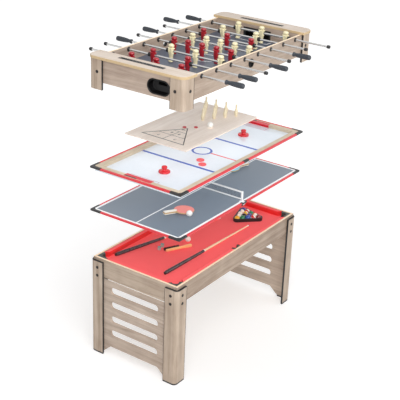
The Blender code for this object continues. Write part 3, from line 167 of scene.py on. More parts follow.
def finish(name, look, values, bump=0.1, relief=0.0002, **shader_values):
    """Material whose colour, roughness and relief come from an effect with its own values."""
    made = bpy.data.materials.new(name)
    made.use_nodes = True
    tree = made.node_tree
    shader = tree.nodes["Principled BSDF"]
    source = tree.nodes.new("ShaderNodeGroup")
    source.node_tree = look
    for title, value in values.items():
        source.inputs[title.replace("_", " ")].default_value = value
    tree.links.new(source.outputs["Color"], shader.inputs["Base Color"])
    tree.links.new(source.outputs["Roughness"], shader.inputs["Roughness"])
    bumps = node(tree, "Bump", {"Height": source.outputs["Height"], "Strength": bump, "Distance": relief})
    tree.links.new(bumps.outputs[0], shader.inputs["Normal"])
    for title, value in shader_values.items():
        shader.inputs[title.replace("_", " ")].default_value = value
    return made


def plain(name, colour, rough=0.4, spread=0.06, scale=60, rough_spread=0.06, **more):
    """Finish of one colour with fine variation over it."""
    look = {"Color": colour, "Spread": spread, "Rough": rough, "Rough_Spread": rough_spread, "Scale": scale}
    return finish(name, speckle, look, **more)


def board_finish(name, stretch, shift=(0, 0, 0), pale=paint(202, 184, 165), dark=paint(156, 135, 117)):
    """Printed oak with its grain along one way."""
    return finish(name, oak_grain, {"Stretch": stretch, "Shift": shift, "Pale": pale, "Dark": dark},
                  bump=0.25, relief=0.0003)


def hang(name, mesh, body, stands_for=(), edge=0.0, matrix=None):
    """Object for a mesh, with rounded edges, on the body that it moves with."""
    made = bpy.data.objects.new(name, mesh)
    bpy.context.collection.objects.link(made)
    if matrix is not None:
        made.matrix_world = matrix
    if edge:
        rounding = made.modifiers.new("rounded_edges", "BEVEL")
        rounding.width = edge
        rounding.segments = 2
        rounding.limit_method = "ANGLE"
        rounding.angle_limit = SMOOTH_ANGLE
        rounding.harden_normals = True
    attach(made, body)
    if stands_for:
        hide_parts(*stands_for)
    return made


def shape(name, bm, *finishes):
    """Mesh from a finished bmesh, smooth but for its sharp edges."""
    bmesh.ops.recalc_face_normals(bm, faces=bm.faces)
    mesh = bpy.data.meshes.new(name)
    bm.to_mesh(mesh)
    bm.free()
    for one in finishes:
        mesh.materials.append(one)
    mesh.shade_smooth()
    mesh.set_sharp_from_angle(angle=SMOOTH_ANGLE)
    return mesh


def form(name, bm, looks, body, stands_for=(), edge=0.0):
    """Piece from a finished bmesh, in one finish or in a tuple of them."""
    finishes = looks if isinstance(looks, tuple) else (looks,)
    return hang(name, shape(name, bm, *finishes), body, stands_for, edge)


def loft(bm, rings, closed=False):
    """Skin rings of as many points each, with flat ends unless it closes on itself."""
    made = [[bm.verts.new(point) for point in ring] for ring in rings]
    pairs = list(zip(made, made[1:]))
    if closed:
        pairs.append((made[-1], made[0]))
    faces = []
    for near, far in pairs:
        for i in range(len(near)):
            faces.append(bm.faces.new((near[i - 1], near[i], far[i], far[i - 1])))
    if not closed:
        faces += [bm.faces.new(made[0]), bm.faces.new(made[-1])]
    return faces


def prism(bm, outline, low, high, axis="Z", matrix=Matrix.Identity(4)):
    """Push an outline along an axis. An outline is in YZ for X, XZ for Y and XY for Z."""
    order = {"X": (2, 0, 1), "Y": (0, 2, 1), "Z": (0, 1, 2)}[axis]
    rings = []
    for end in (low, high):
        rings.append([matrix @ Vector([(u, v, end)[i] for i in order]) for u, v in outline])
    return loft(bm, rings)


def box(bm, low, high, matrix=Matrix.Identity(4)):
    """Closed box between two corners, given in either order."""
    outline = [(low[0], low[1]), (high[0], low[1]), (high[0], high[1]), (low[0], high[1])]
    return prism(bm, outline, low[2], high[2], "Z", matrix)


def ring_about(sides, height, radius_at, y=0):
    """Ring about Z, or about a line beside it, whose radius may change with the angle."""
    angles = [math.tau * i / sides for i in range(sides)]
    return [(radius_at(a) * math.cos(a), y + radius_at(a) * math.sin(a), height) for a in angles]


def turned(bm, profile, sides=32, matrix=Matrix.Identity(4)):
    """Turn a profile of (radius, height) points about Z, with closed ends, and place it."""
    rings = [[matrix @ Vector(point) for point in ring_about(sides, height, lambda _: radius)]
             for radius, height in profile]
    return loft(bm, rings, closed=profile[0] == profile[-1])


def turning(name, profile, look, sides=32, matrix=Matrix.Identity(4)):
    """Mesh of one turned piece."""
    bm = bmesh.new()
    turned(bm, profile, sides, matrix)
    return shape(name, bm, look)


def facing(direction, place=(0, 0, 0)):
    """Matrix that sets a turned piece down with its +Z in a direction."""
    return Matrix.Translation(place) @ Vector(direction).to_track_quat("Z", "Y").to_matrix().to_4x4()


def arc(cx, cy, radius, start_degrees, end_degrees, steps):
    """Points along an arc, both ends counted."""
    points = []
    for i in range(steps + 1):
        angle = math.radians(start_degrees + (end_degrees - start_degrees) * i / steps)
        points.append((cx + radius * math.cos(angle), cy + radius * math.sin(angle)))
    return points


def corner_plan(sx, sy, face, inset=0.0):
    """Plan of an L moulding at one corner of the table, its skin set in by a distance."""
    middle = LEG_CORNER_RADIUS
    round_corner = arc(middle, middle, middle - inset, 180, 270, LEG_CORNER_STEPS)
    inner = LEG_BOARD - inset
    plan = [(inset, face), *round_corner, (face, inset), (face, inner), (inner, inner), (inner, face)]
    return [(sx * (TABLE_HALF.x - u), sy * (TABLE_HALF.y - v)) for u, v in plan]


oak_upright = board_finish("oak_upright", GRAIN_UPRIGHT)
black_moulding = plain("black_moulding", paint(34, 33, 34), 0.42, 0.12)
bolt_black = plain("bolt_black", paint(38, 32, 30), 0.35, 0.1, Metallic=0.3)
bolt_mesh = turning("bolt", BOLT_PROFILE, bolt_black, 24)


def trim(name, bm, body, edge=0.0):
    """Black plastic trim that is in no solid."""
    form(name, bm, black_moulding, body, (), edge)


def corner_moulding(name, sx, sy, body, foot, cap, bolt_offset, bolt_heights):
    """L board with its edge strips, cap strip, pad and bolts."""
    low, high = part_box(name)
    face = high.x - low.x
    bm = bmesh.new()
    prism(bm, corner_plan(sx, sy, face - EDGE_STRIP), low.z + foot, high.z - cap)
    form(f"{name}_board", bm, oak_upright, body, [name], BOARD_EDGE)
    bm = bmesh.new()
    end, board, proud = face - EDGE_STRIP, LEG_BOARD, EDGE_STRIP_PROUD
    for u0, u1, v0, v1 in ((end, face, -proud, board + proud), (-proud, board + proud, end, face)):
        box(bm, (sx * (TABLE_HALF.x - u0), sy * (TABLE_HALF.y - v0), low.z + foot),
            (sx * (TABLE_HALF.x - u1), sy * (TABLE_HALF.y - v1), high.z - cap))
    trim(f"{name}_edge_strips", bm, body)
    ends = (("foot_pad", low.z, low.z + foot, 0), ("cap_strip", high.z - cap, high.z, CAP_STRIP_PROUD))
    for part, bottom, top, proud in ends:
        if top > bottom:
            bm = bmesh.new()
            prism(bm, corner_plan(sx, sy, face, -proud), bottom, top)
            trim(f"{name}_{part}", bm, body, STRIP_ROUNDING)
    number = 0
    for height in bolt_heights:
        for place, way in (((sx * TABLE_HALF.x, sy * (TABLE_HALF.y - bolt_offset), height), (sx, 0, 0)),
                           ((sx * (TABLE_HALF.x - bolt_offset), sy * TABLE_HALF.y, height), (0, sy, 0))):
            number += 1
            hang(f"{name}_bolt_{number}", bolt_mesh, body, matrix=facing(way, place))


for sx, sy in CORNERS:
    where = f"{SIDE_NAMES[sy]}_{END_NAMES[sx]}"
    corner_moulding(f"leg_{where}", sx, sy, "base", FOOT_PAD, LEG_CAP, BOLT_OFFSET, BOLT_HEIGHTS)

# Aprons. Four rails of 15 mm board stand behind the legs and hold the bed between them.
# They have the oak print on their faces and a cream band ironed on along the top edge, whose
# cream is partly painted highlight from above.

GRAIN_LONG = (2.0, 42, 42)
GRAIN_CROSS = (42, 2.0, 42)

oak_long = board_finish("oak_long", GRAIN_LONG, pale=paint(184, 164, 146), dark=paint(136, 115, 98))
oak_cross = board_finish("oak_cross", GRAIN_CROSS, (3, 1, 2))
# Cream for the boards' top faces: an edge band, made paler as a painted highlight from above.
cream_band_and_highlight = plain("cream_band_and_highlight", paint(250, 228, 198), 0.5, 0.05)


def finish_top(faces, level):
    """Give the faces above a level the second finish."""
    for face in faces:
        face.material_index = int(face.calc_center_median().z > level)


for names, look in ((SIDE_NAMES, oak_long), (END_NAMES, oak_cross)):
    for where in names.values():
        low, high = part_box(f"apron_{where}")
        bm = bmesh.new()
        # The top faces take the cream band with its painted highlight.
        finish_top(box(bm, low, high), high.z - BOARD_EDGE)
        form(f"apron_{where}_board", bm, (look, cream_band_and_highlight), "base",
             [f"apron_{where}"], BOARD_EDGE)

# End panels. A board with four routed slots stands between the legs of each end, arched at
# the bottom, with a narrow gap under the apron. A black clip closes one end of the gap.

SLOT_COUNT = 4
SLOT_LENGTH = 0.370
SLOT_HEIGHT = 0.048
SLOT_RADIUS = 0.022
SLOT_PITCH = 0.1025
SLOT_DROP = 0.0733
ARCH_HEIGHT = 0.073
ARCH_RUN = 0.055
HEEL_INNER = 0.2415
CLIP_LENGTH = 0.030
CUT_OVERRUN = 0.004


def cut(bm, tool):
    """One bmesh with another cut out of it, as a new bmesh."""
    body, other = [bpy.data.objects.new("raw", shape("raw", raw)) for raw in (bm, tool)]
    for raw in (body, other):
        bpy.context.collection.objects.link(raw)
    change = body.modifiers.new("cut", "BOOLEAN")
    change.object = other
    change.operation = "DIFFERENCE"
    graph = bpy.context.evaluated_depsgraph_get()
    result = bmesh.new()
    result.from_mesh(body.evaluated_get(graph).to_mesh())
    for raw in (body, other):
        bpy.data.objects.remove(raw)
    return result


def rounded(cx, cy, width, height, radius, steps=8):
    """Rectangle with four round corners."""
    points = []
    for quarter, (sx, sy) in enumerate(((1, 1), (-1, 1), (-1, -1), (1, -1))):
        centre = (cx + sx * (width / 2 - radius), cy + sy * (height / 2 - radius))
        points += arc(*centre, radius, 90 * quarter, 90 * quarter + 90, steps)
    return points


apron_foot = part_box("apron_left")[0].z
white_edge = plain("white_edge", paint(252, 252, 250), 0.5, 0.02)
panel_oak = board_finish("panel_oak", GRAIN_CROSS, (7, 4, 5), paint(204, 186, 170), paint(158, 138, 122))
for side, where in END_NAMES.items():
    low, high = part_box(f"end_panel_{where}")
    half = high.y
    bm = bmesh.new()
    outline = [(-half, high.z), (-half, low.z), (-HEEL_INNER, low.z), (ARCH_RUN - HEEL_INNER, ARCH_HEIGHT)]
    outline += [(-y, z) for y, z in reversed(outline)]
    prism(bm, outline, low.x, high.x, "X")
    slots = bmesh.new()
    for i in range(SLOT_COUNT):
        slot = rounded(0, apron_foot - SLOT_DROP - i * SLOT_PITCH, SLOT_LENGTH, SLOT_HEIGHT, SLOT_RADIUS)
        prism(slots, slot, low.x - CUT_OVERRUN, high.x + CUT_OVERRUN, "X")
    bm = cut(bm, slots)
    finish_top(bm.faces, high.z - BOARD_EDGE)
    form(f"end_panel_{where}_board", bm, (panel_oak, white_edge), "base",
         [f"end_panel_{where}"], BOARD_EDGE)
    bm = bmesh.new()
    inner = side * -HEEL_INNER
    box(bm, (low.x, inner, high.z), (high.x, inner + side * CLIP_LENGTH, apron_foot))
    trim(f"panel_clip_{where}", bm, "base", BOARD_EDGE / 2)

# Bed. A chipboard panel notched for the pockets rests on four pine battens between the long
# aprons. Red napped cloth is glued over it, so it has a soft sheen at a low angle.

bay_low, bay_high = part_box("pool_bed")
BED_TOP = 0.645
BED_BOARD = 0.012
BED_CLOTH = 0.0012
BATTEN_WIDTH = 0.018
BATTEN_HEIGHT = 0.050
BATTEN_X = (-0.4665, -0.1646, 0.1646, 0.4665)
CORNER_POCKET = 0.066
MIDDLE_POCKET = 0.054
SEAT_GAP = 0.0003
NAP = {"bump": 0.3, "relief": 0.0004, "Sheen_Roughness": 0.4, "Sheen_Tint": (1, 0.55, 0.55, 1)}

red_cloth = plain("red_cloth", paint(255, 104, 108), 0.92, 0.05, 1400, 0.03, Sheen_Weight=0.35,
                  Specular_IOR_Level=0.2, **NAP)
chipboard = plain("chipboard", paint(176, 146, 112), 0.75, 0.15, 260, bump=0.4)
pine = board_finish("pine", GRAIN_CROSS, (1, 7, 3), paint(214, 184, 140), paint(176, 140, 98))
pocket_plans = []
for sx, sy in CORNERS:
    xs = sorted((sx * (bay_high.x - CORNER_POCKET), sx * bay_high.x))
    ys = sorted((sy * (bay_high.y - CORNER_POCKET), sy * bay_high.y))
    pocket_plans.append((f"{SIDE_NAMES[sy]}_{END_NAMES[sx]}", xs, ys, (sx, sy)))
for sy in (-1, 1):
    ys = sorted((sy * (bay_high.y - MIDDLE_POCKET), sy * bay_high.y))
    pocket_plans.append((f"{SIDE_NAMES[sy]}_middle", (-CORNER_POCKET / 2, CORNER_POCKET / 2), ys, (0, sy)))


def notched(bottom, top):
    """Panel between the aprons with a notch for each pocket."""
    bm, notches = bmesh.new(), bmesh.new()
    box(bm, (bay_low.x, bay_low.y, bottom), (bay_high.x, bay_high.y, top))
    for _, xs, ys, (sx, sy) in pocket_plans:
        low = [ends[0] - (CUT_OVERRUN if s < 0 else SEAT_GAP) for ends, s in ((xs, sx), (ys, sy))]
        high = [ends[1] + (CUT_OVERRUN if s > 0 else SEAT_GAP) for ends, s in ((xs, sx), (ys, sy))]
        box(notches, (*low, bottom - CUT_OVERRUN), (*high, top + CUT_OVERRUN))
    return cut(bm, notches)


board_top = BED_TOP - BED_CLOTH
board_foot = BED_TOP - BED_BOARD
for name, bottom, top, look in (("bed_board", board_foot, board_top, chipboard),
                                ("bed_cloth", board_top, BED_TOP, red_cloth)):
    form(name, notched(bottom, top), look, "base", ["pool_bed"])
for number, x in enumerate(BATTEN_X, 1):
    bm = bmesh.new()
    box(bm, (x - BATTEN_WIDTH / 2, bay_low.y, board_foot - BATTEN_HEIGHT),
        (x + BATTEN_WIDTH / 2, bay_high.y, board_foot))
    form(f"batten_{number}", bm, pine, "base", ["pool_bed"], BOARD_EDGE)

# Cushions. Six lengths of moulded rubber, glued to the rails and wrapped in the same cloth,
# pale on top and deep red under the nose, with slanted ends that open each pocket's mouth. The
# deep red of the nose and undercut is painted shade; the top has the bed's cloth.

CUSHION_DEPTH = 0.034
CUSHION_TOP = 0.681
CUSHION_NOSE = (0.669, 0.675)
CUSHION_UNDERCUT = 0.010
CUSHION_SLOPE = 0.008
CORNER_SLANT = 0.9
MIDDLE_SLANT = 0.4
CUSHION_ROUNDING = 0.0022

# Deeper red copy of the cloth for the nose and undercut: painted shade.
painted_shade_cloth = plain("painted_shade_cloth", paint(236, 40, 40), 0.9, 0.05, 1400, 0.03, Sheen_Weight=0.3, **NAP)
cushion_section = [
    (0, BED_TOP), (0, CUSHION_TOP), (CUSHION_DEPTH - CUSHION_SLOPE, CUSHION_TOP),
    (CUSHION_DEPTH, CUSHION_NOSE[1]), (CUSHION_DEPTH, CUSHION_NOSE[0]),
    (CUSHION_DEPTH - CUSHION_UNDERCUT, BED_TOP),
]


def cushion(name, side, along_x, ends, slants):
    """Cushion between two pockets."""
    bm = bmesh.new()
    rings = []
    for end, slant in zip(ends, slants):
        ring = [(end + slant * d, side * ((bay_high.y if along_x else bay_high.x) - d), z)
                for d, z in cushion_section]
        rings.append(ring if along_x else [(x, along, z) for along, x, z in ring])
    # Faces above the top take the bed's cloth; the nose and undercut take the painted shade red.
    finish_top(loft(bm, rings), CUSHION_TOP - BOARD_EDGE)
    form(name, bm, (painted_shade_cloth, red_cloth), "base", ["pool_bed"], CUSHION_ROUNDING)


far_x = bay_high.x - CORNER_POCKET - SEAT_GAP
far_y = bay_high.y - CORNER_POCKET - SEAT_GAP
near_x = CORNER_POCKET / 2 + SEAT_GAP
for side, where in SIDE_NAMES.items():
    cushion(f"rubber_{where}_left", side, True, (-far_x, -near_x), (CORNER_SLANT, -MIDDLE_SLANT))
    cushion(f"rubber_{where}_right", side, True, (near_x, far_x), (MIDDLE_SLANT, -CORNER_SLANT))
for side, where in END_NAMES.items():
    cushion(f"rubber_{where}", side, False, (-far_y, far_y), (CORNER_SLANT, -CORNER_SLANT))

# Pockets. Each is a moulded cup of dark grey plastic let into the rail. Its side towards
# the bed is open above the cloth, so that a ball drops in, and its lip is rounded.

POCKET_WALL = 0.005
POCKET_FLOOR = 0.003
POCKET_SIDES = 40
POCKET_HOLE = 0.0225
POCKET_SHIFT = 0.010
POCKET_ROUNDING = 0.0012

pocket_grey = plain("pocket_grey", paint(66, 74, 71), 0.5, 0.12, 120)
for name, xs, ys, (sx, sy) in pocket_plans:
    low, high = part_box(f"pocket_{name}")
    centre = Vector((sum(xs) / 2, sum(ys) / 2, 0))
    bm, hollow, mouth = bmesh.new(), bmesh.new(), bmesh.new()
    box(bm, low, high)
    centre -= Vector((sx, sy, 0)) * min(POCKET_SHIFT, (ys[1] - ys[0]) / 2 - POCKET_HOLE - POCKET_WALL)
    bore = [(POCKET_HOLE, low.z + POCKET_FLOOR), (POCKET_HOLE, high.z + CUT_OVERRUN)]
    turned(hollow, bore, POCKET_SIDES, Matrix.Translation(centre))
    way = Matrix.Rotation(math.atan2(-sy, -sx), 4, "Z")
    box(mouth, (0, -CORNER_POCKET, BED_TOP), (CORNER_POCKET, CORNER_POCKET, high.z + CUT_OVERRUN),
        Matrix.Translation(centre) @ way)
    bm = cut(cut(bm, hollow), mouth)
    form(f"pocket_{name}_cup", bm, pocket_grey, "base",
         [f"pocket_{name}"], POCKET_ROUNDING)

# Cues. Two one-piece cues of turned maple: a stained butt with a rubber bumper and a ring
# at the joint, a pale shaft, a white ferrule and a leather tip. They lie on the cloth.

CUE_LENGTH = 0.914
CUE_BUTT = 0.0125
CUE_BUTT_END = 0.010
CUE_JOINT = 0.0088
CUE_TIP = 0.0045
CUE_JOINT_SHARE = 0.45
CUE_X = (-0.0837, -0.0960)
CUE_END_Y = ((-0.1295, -0.1518), (0.2591, 0.0613))
CUE_BUMPER = ((0.006, 0), (CUE_BUTT_END, 0.003), (CUE_BUTT_END, 0.008))
CUE_SWELL = ((CUE_BUTT, 0.020), (CUE_BUTT - 0.0004, 0.120))
CUE_RING = 0.010
CUE_RING_PROUD = 0.0003
SHAFT_STEP = 0.200
CUE_FERRULE = 0.014
CUE_LEATHER = 0.004
CUE_CROWN = (0.002, 0.001)

stained_maple = plain("stained_maple", paint(62, 56, 60), 0.28, 0.2, 90, Coat_Weight=0.4)
shaft_maple = plain("shaft_maple", paint(240, 214, 176), 0.3, 0.06, 110, Coat_Weight=0.3)
cue_white = plain("cue_white", paint(246, 243, 236), 0.3, 0.03)
tip_leather = plain("tip_leather", paint(86, 104, 120), 0.8, 0.2, 400)
tilt = math.atan2(CUE_BUTT - CUE_TIP, CUE_LENGTH)
for number, (x, (butt_y, tip_y)) in enumerate(zip(CUE_X, CUE_END_Y), 1):
    turn = math.asin((tip_y - butt_y) / CUE_LENGTH)
    lie = Matrix.Translation((x, (butt_y + tip_y) / 2, BED_TOP + CUE_BUTT + SEAT_GAP))
    lie = lie @ Matrix.Rotation(turn, 4, "Z") @ Matrix.Translation((-CUE_LENGTH / 2, 0, 0))
    lie = lie @ Matrix.Rotation(math.pi / 2 + tilt, 4, "Y")
    joint = CUE_LENGTH * CUE_JOINT_SHARE
    bare = CUE_LENGTH - CUE_LEATHER - CUE_FERRULE
    taper = (CUE_JOINT - CUE_TIP) / (bare - joint)
    lengths = {
        "bumper": (black_moulding, CUE_BUMPER),
        "butt": (stained_maple, [CUE_BUMPER[-1], *CUE_SWELL, (CUE_JOINT, joint - CUE_RING)]),
        "ring": (cue_white, [(CUE_JOINT, joint - CUE_RING),
                             (CUE_JOINT + CUE_RING_PROUD, joint - CUE_RING / 2), (CUE_JOINT, joint)]),
        "shaft": (shaft_maple, [(CUE_JOINT, joint), (CUE_JOINT - taper * SHAFT_STEP, joint + SHAFT_STEP),
                                (CUE_TIP, bare)]),
        "ferrule": (cue_white, [(CUE_TIP, bare), (CUE_TIP, bare + CUE_FERRULE)]),
        "tip": (tip_leather, [(CUE_TIP, bare + CUE_FERRULE), (CUE_TIP, CUE_LENGTH - CUE_CROWN[1]),
                              (CUE_CROWN[0], CUE_LENGTH)]),
    }
    for part, (look, profile) in lengths.items():
        mesh = turning("cue", profile, look, 24, lie)
        hang(f"cue_{number}_{part}", mesh, "base", [f"cue_{number}"])

# Rack and balls. A moulded black triangle holds fifteen glossy phenolic balls: seven solid,
# the black and seven with a coloured stripe round white. The cue ball lies out on the cloth.

BALL_RADIUS = 0.019
BALL_STEP = 0.0375
ROW_STEP = BALL_STEP * math.sqrt(3) / 2
RACK_ROWS = 5
RACK_WALL = 0.007
RACK_HEIGHT = 0.024
RACK_GAP = 0.0016
RACK_ROUNDING = 0.0012
RACK_PLACE = (0.4733, -0.0673)
RACK_TURN = math.radians(-14)
CUE_BALL_PLACE = (-0.0823, 0.0269)
STRIPE_SHARE = 0.48
BALL_ARC = 84
BALL_ROLL = (0.2, 1.4)
BALL_TILT = (-1, 1)
BALL_COLOURS = {
    "yellow": paint(244, 186, 40), "blue": paint(38, 84, 176), "red": paint(214, 42, 44),
    "purple": paint(84, 62, 140), "orange": paint(240, 128, 60), "green": paint(36, 128, 84),
    "maroon": paint(130, 36, 46), "black": paint(22, 22, 24),
}
RACK_ORDER = ("yellow green maroon blue black orange red purple yellow blue maroon orange green red "
              "purple").split()
STRIPED_PLACES = (2, 5, 6, 8, 9, 11, 13)


def laid(place, height, turn=0):
    """Matrix that lays a piece down at a place in plan, turned about Z."""
    return Matrix.Translation((*place, height)) @ Matrix.Rotation(turn, 4, "Z")


def ball_mesh(look):
    """Ball turned from a half circle."""
    return turning("ball", arc(0, 0, BALL_RADIUS, -BALL_ARC, BALL_ARC, 16), look)


def ball_finish(name, colour, striped):
    """Glossy resin, with a coloured belt round white where the ball is striped."""
    made = plain(name, colour, 0.08, 0.02, 40, 0.02, bump=0.02, Coat_Weight=0.6, Coat_Roughness=0.05)
    if striped:
        tree = made.node_tree
        coords = node(tree, "TexCoord").outputs["Object"]
        height = node(tree, "SeparateXYZ", {0: coords}).outputs["Z"]
        pole = maths(tree, "GREATER_THAN", maths(tree, "ABSOLUTE", height), BALL_RADIUS * STRIPE_SHARE)
        shader = tree.nodes["Principled BSDF"]
        belt = shader.inputs["Base Color"].links[0].from_socket
        both = node(tree, "Mix", {0: pole, 6: belt, 7: paint(248, 244, 234)}, data_type="RGBA")
        tree.links.new(both.outputs[2], shader.inputs["Base Color"])
    return made


rack_middle = ROW_STEP * (RACK_ROWS - 1) * 2 / 3
rack_matrix = laid(RACK_PLACE, BED_TOP + SEAT_GAP, RACK_TURN)
rack_corners = [(-rack_middle, 0)]
rack_corners += [(rack_middle / 2, side * BALL_STEP * (RACK_ROWS - 1) / 2) for side in (-1, 1)]


def rack_ring(offset, height):
    """Round-cornered triangle set a distance outside the outer balls' centres."""
    points = []
    for (x, y), start in zip(rack_corners, (120, 240, 0)):
        points += arc(x, y, offset, start, start + 120, 12)
    return [rack_matrix @ Vector((x, y, height)) for x, y in points]


bm = bmesh.new()
inner = BALL_RADIUS + RACK_GAP
loft(bm, [rack_ring(inner, 0), rack_ring(inner + RACK_WALL, 0), rack_ring(inner + RACK_WALL, RACK_HEIGHT),
          rack_ring(inner, RACK_HEIGHT)], closed=True)
form("rack_triangle", bm, black_moulding, "base", ["ball_rack"], RACK_ROUNDING)
ball_white = plain("ball_white", paint(250, 248, 242), 0.35, 0.02, 40, 0.02, bump=0.02, Coat_Weight=0.15)
rng = random.Random(7)
number = 0
for row in range(RACK_ROWS):
    for i in range(row + 1):
        name = RACK_ORDER[number]
        look = ball_finish(f"ball_{name}_{number}", BALL_COLOURS[name], number in STRIPED_PLACES)
        spot = rack_matrix @ Vector((row * ROW_STEP - rack_middle, (i - row / 2) * BALL_STEP, BALL_RADIUS))
        roll = Matrix.Rotation(rng.uniform(*BALL_ROLL), 4, "X")
        roll = roll @ Matrix.Rotation(rng.uniform(*BALL_TILT), 4, "Y")
        hang(f"pool_ball_{number + 1}", ball_mesh(look), "base", ["racked_balls"],
             matrix=Matrix.Translation(spot) @ roll)
        number += 1
hang("cue_ball", ball_mesh(ball_white), "base", ["pool_bed"],
     matrix=laid(CUE_BALL_PLACE, BED_TOP + BALL_RADIUS))

# Table brush and chalk. The brush has a turned beech back and handle in one piece, with rows
# of black bristle tufts set in it, and lies on its side. The two chalks are dimpled cubes
# of grey-green chalk in a paper wrap.

BRUSH_LENGTH = 0.185
BRUSH_HEAD = 0.100
BRUSH_WIDTH = 0.024
BRUSH_BACK = 0.014
BRUSH_SECTIONS = (
    (0.000, 0.42, 0.30), (0.004, 0.50, 0.36), (0.094, 0.50, 0.36), (0.102, 0.44, 0.36), (0.114, 0.33, 0.36),
    (0.130, 0.36, 0.40), (0.160, 0.46, 0.46), (0.178, 0.44, 0.44), (BRUSH_LENGTH, 0.26, 0.26),
)
BRUSH_ROUND = 0.7
BRUSH_PLACE = (-0.2950, 0.0404)
BRUSH_TURN = math.radians(-26)
BRISTLE_LENGTH = 0.0205
BRISTLE_TRIM = (0.93, 1.0)
TUFT_ROWS = 5
TUFT_COLUMNS = 26
TUFT_STRANDS = 5
TUFT_MARGIN = (0.005, 0.004)
TUFT_SPREAD = 0.0012
BRISTLE_SET = 0.001
BRISTLE_LEAN = (0.002, 0.0015)
BRISTLE_FAN = 0.2
BRISTLE_RADII = (0.0009, 0.0007)
CHALK_SIZE = 0.020
CHALK_PLACES = ((-0.2442, 0.1131), (-0.2881, 0.1036))
CHALK_TURN = math.radians(24)
CHALK_RIM = 0.0012
CHALK_STEP = 0.003
CHALK_DIMPLE = (0.0011, 0.0015)
CHALK_WRAP_SHARE = 0.75
CHALK_ROUNDING = 0.0006

beech = plain("beech", paint(250, 194, 132), 0.35, 0.08, 70, Coat_Weight=0.3)
bristle_black = plain("bristle_black", paint(44, 42, 44), 0.6, 0.25, 300)
chalk_wrap = plain("chalk_wrap", paint(172, 182, 176), 0.7, 0.12, 200)
chalk_blue = plain("chalk_blue", paint(120, 158, 158), 0.95, 0.15, 500, bump=0.5)
lie = laid(BRUSH_PLACE, BED_TOP + SEAT_GAP, BRUSH_TURN)
bm = bmesh.new()
rings = []
for along, back_share, wide_share in BRUSH_SECTIONS:
    half_back, half_wide = back_share * BRUSH_BACK, wide_share * BRUSH_WIDTH
    plan = rounded(0, 0, 2 * half_back, 2 * half_wide, min(half_back, half_wide) * BRUSH_ROUND, 4)
    rings.append([lie @ Vector((along, BRUSH_BACK / 2 + u, BRUSH_WIDTH / 2 + v)) for u, v in plan])
loft(bm, rings)
form("brush_handle", bm, beech, "base", ["table_brush"])
bm = bmesh.new()
for column in range(TUFT_COLUMNS):
    for row in range(TUFT_ROWS):
        x = TUFT_MARGIN[0] + (BRUSH_HEAD - 2 * TUFT_MARGIN[0]) * column / (TUFT_COLUMNS - 1)
        z = TUFT_MARGIN[1] + (BRUSH_WIDTH - 2 * TUFT_MARGIN[1]) * row / (TUFT_ROWS - 1)
        for _ in range(TUFT_STRANDS):
            root = Vector((x + rng.uniform(-TUFT_SPREAD, TUFT_SPREAD), BRUSH_BACK - BRISTLE_SET,
                           z + rng.uniform(-TUFT_SPREAD, TUFT_SPREAD)))
            fan = (x - BRUSH_HEAD / 2) * BRISTLE_FAN
            lean = Vector((rng.uniform(-BRISTLE_LEAN[0], BRISTLE_LEAN[0]) + fan,
                           BRISTLE_LENGTH * rng.uniform(*BRISTLE_TRIM),
                           rng.uniform(-BRISTLE_LEAN[1], BRISTLE_LEAN[1])))
            loft(bm, [[lie @ (root + offset + Vector((u, 0, v))) for u, v in arc(0, 0, radius, 0, 240, 2)]
                      for radius, offset in zip(BRISTLE_RADII, (Vector(), lean))])
form("brush_bristles", bm, bristle_black, "base", ["table_brush"])
for number, place in enumerate(CHALK_PLACES, 1):
    bm = bmesh.new()
    half = CHALK_SIZE / 2
    faces = box(bm, (-half, -half, 0), (half, half, CHALK_SIZE), laid(place, BED_TOP, CHALK_TURN))
    top = max(faces, key=lambda face: face.calc_center_median().z)
    bmesh.ops.inset_region(bm, faces=[top], thickness=CHALK_RIM)
    for depth in CHALK_DIMPLE:
        bmesh.ops.inset_region(bm, faces=[top], thickness=CHALK_STEP)
        bmesh.ops.translate(bm, verts=top.verts, vec=(0, 0, -depth))
    finish_top(bm.faces, BED_TOP + CHALK_SIZE * CHALK_WRAP_SHARE)
    form(f"chalk_{number}", bm, (chalk_wrap, chalk_blue), "base",
         ["pool_bed"], CHALK_ROUNDING)

# Table-tennis top. A 12 mm slate-printed board with a white border and centre line. A red
# PVC edge is pressed round it, and black guards cover its corners and the long sides' middles.

PLAY_BOARD = 0.012
TENNIS_BORDER = 0.016
TENNIS_LINE = 0.009
BAND_WALL = 0.0025
BAND_LIP_PROUD = 0.0008
TENNIS_LIP = 0.010
TENNIS_BAND = 0.010
TENNIS_RIM = 0.004
GUARD_WALL = 0.0010
GUARD_LEG = 0.076
GUARD_GUSSET = 0.026
GUARD_MIDDLE = 0.055
GUARD_CHAMFER = 0.006
EDGE_FOLD = 0.0009

slate_print = plain("slate_print", paint(116, 127, 139), 0.42, 0.05, 220, Coat_Weight=0.1)
white_print = plain("white_print", paint(244, 244, 244), 0.45, 0.02)
red_band = plain("red_band", paint(222, 52, 62), 0.4, 0.05)
back_board = plain("back_board", paint(168, 140, 112), 0.7, 0.12, 200)


def around(x, y):
    """Corners of a rectangle round the middle, in order."""
    return [(-x, -y), (x, -y), (x, y), (-x, y)]


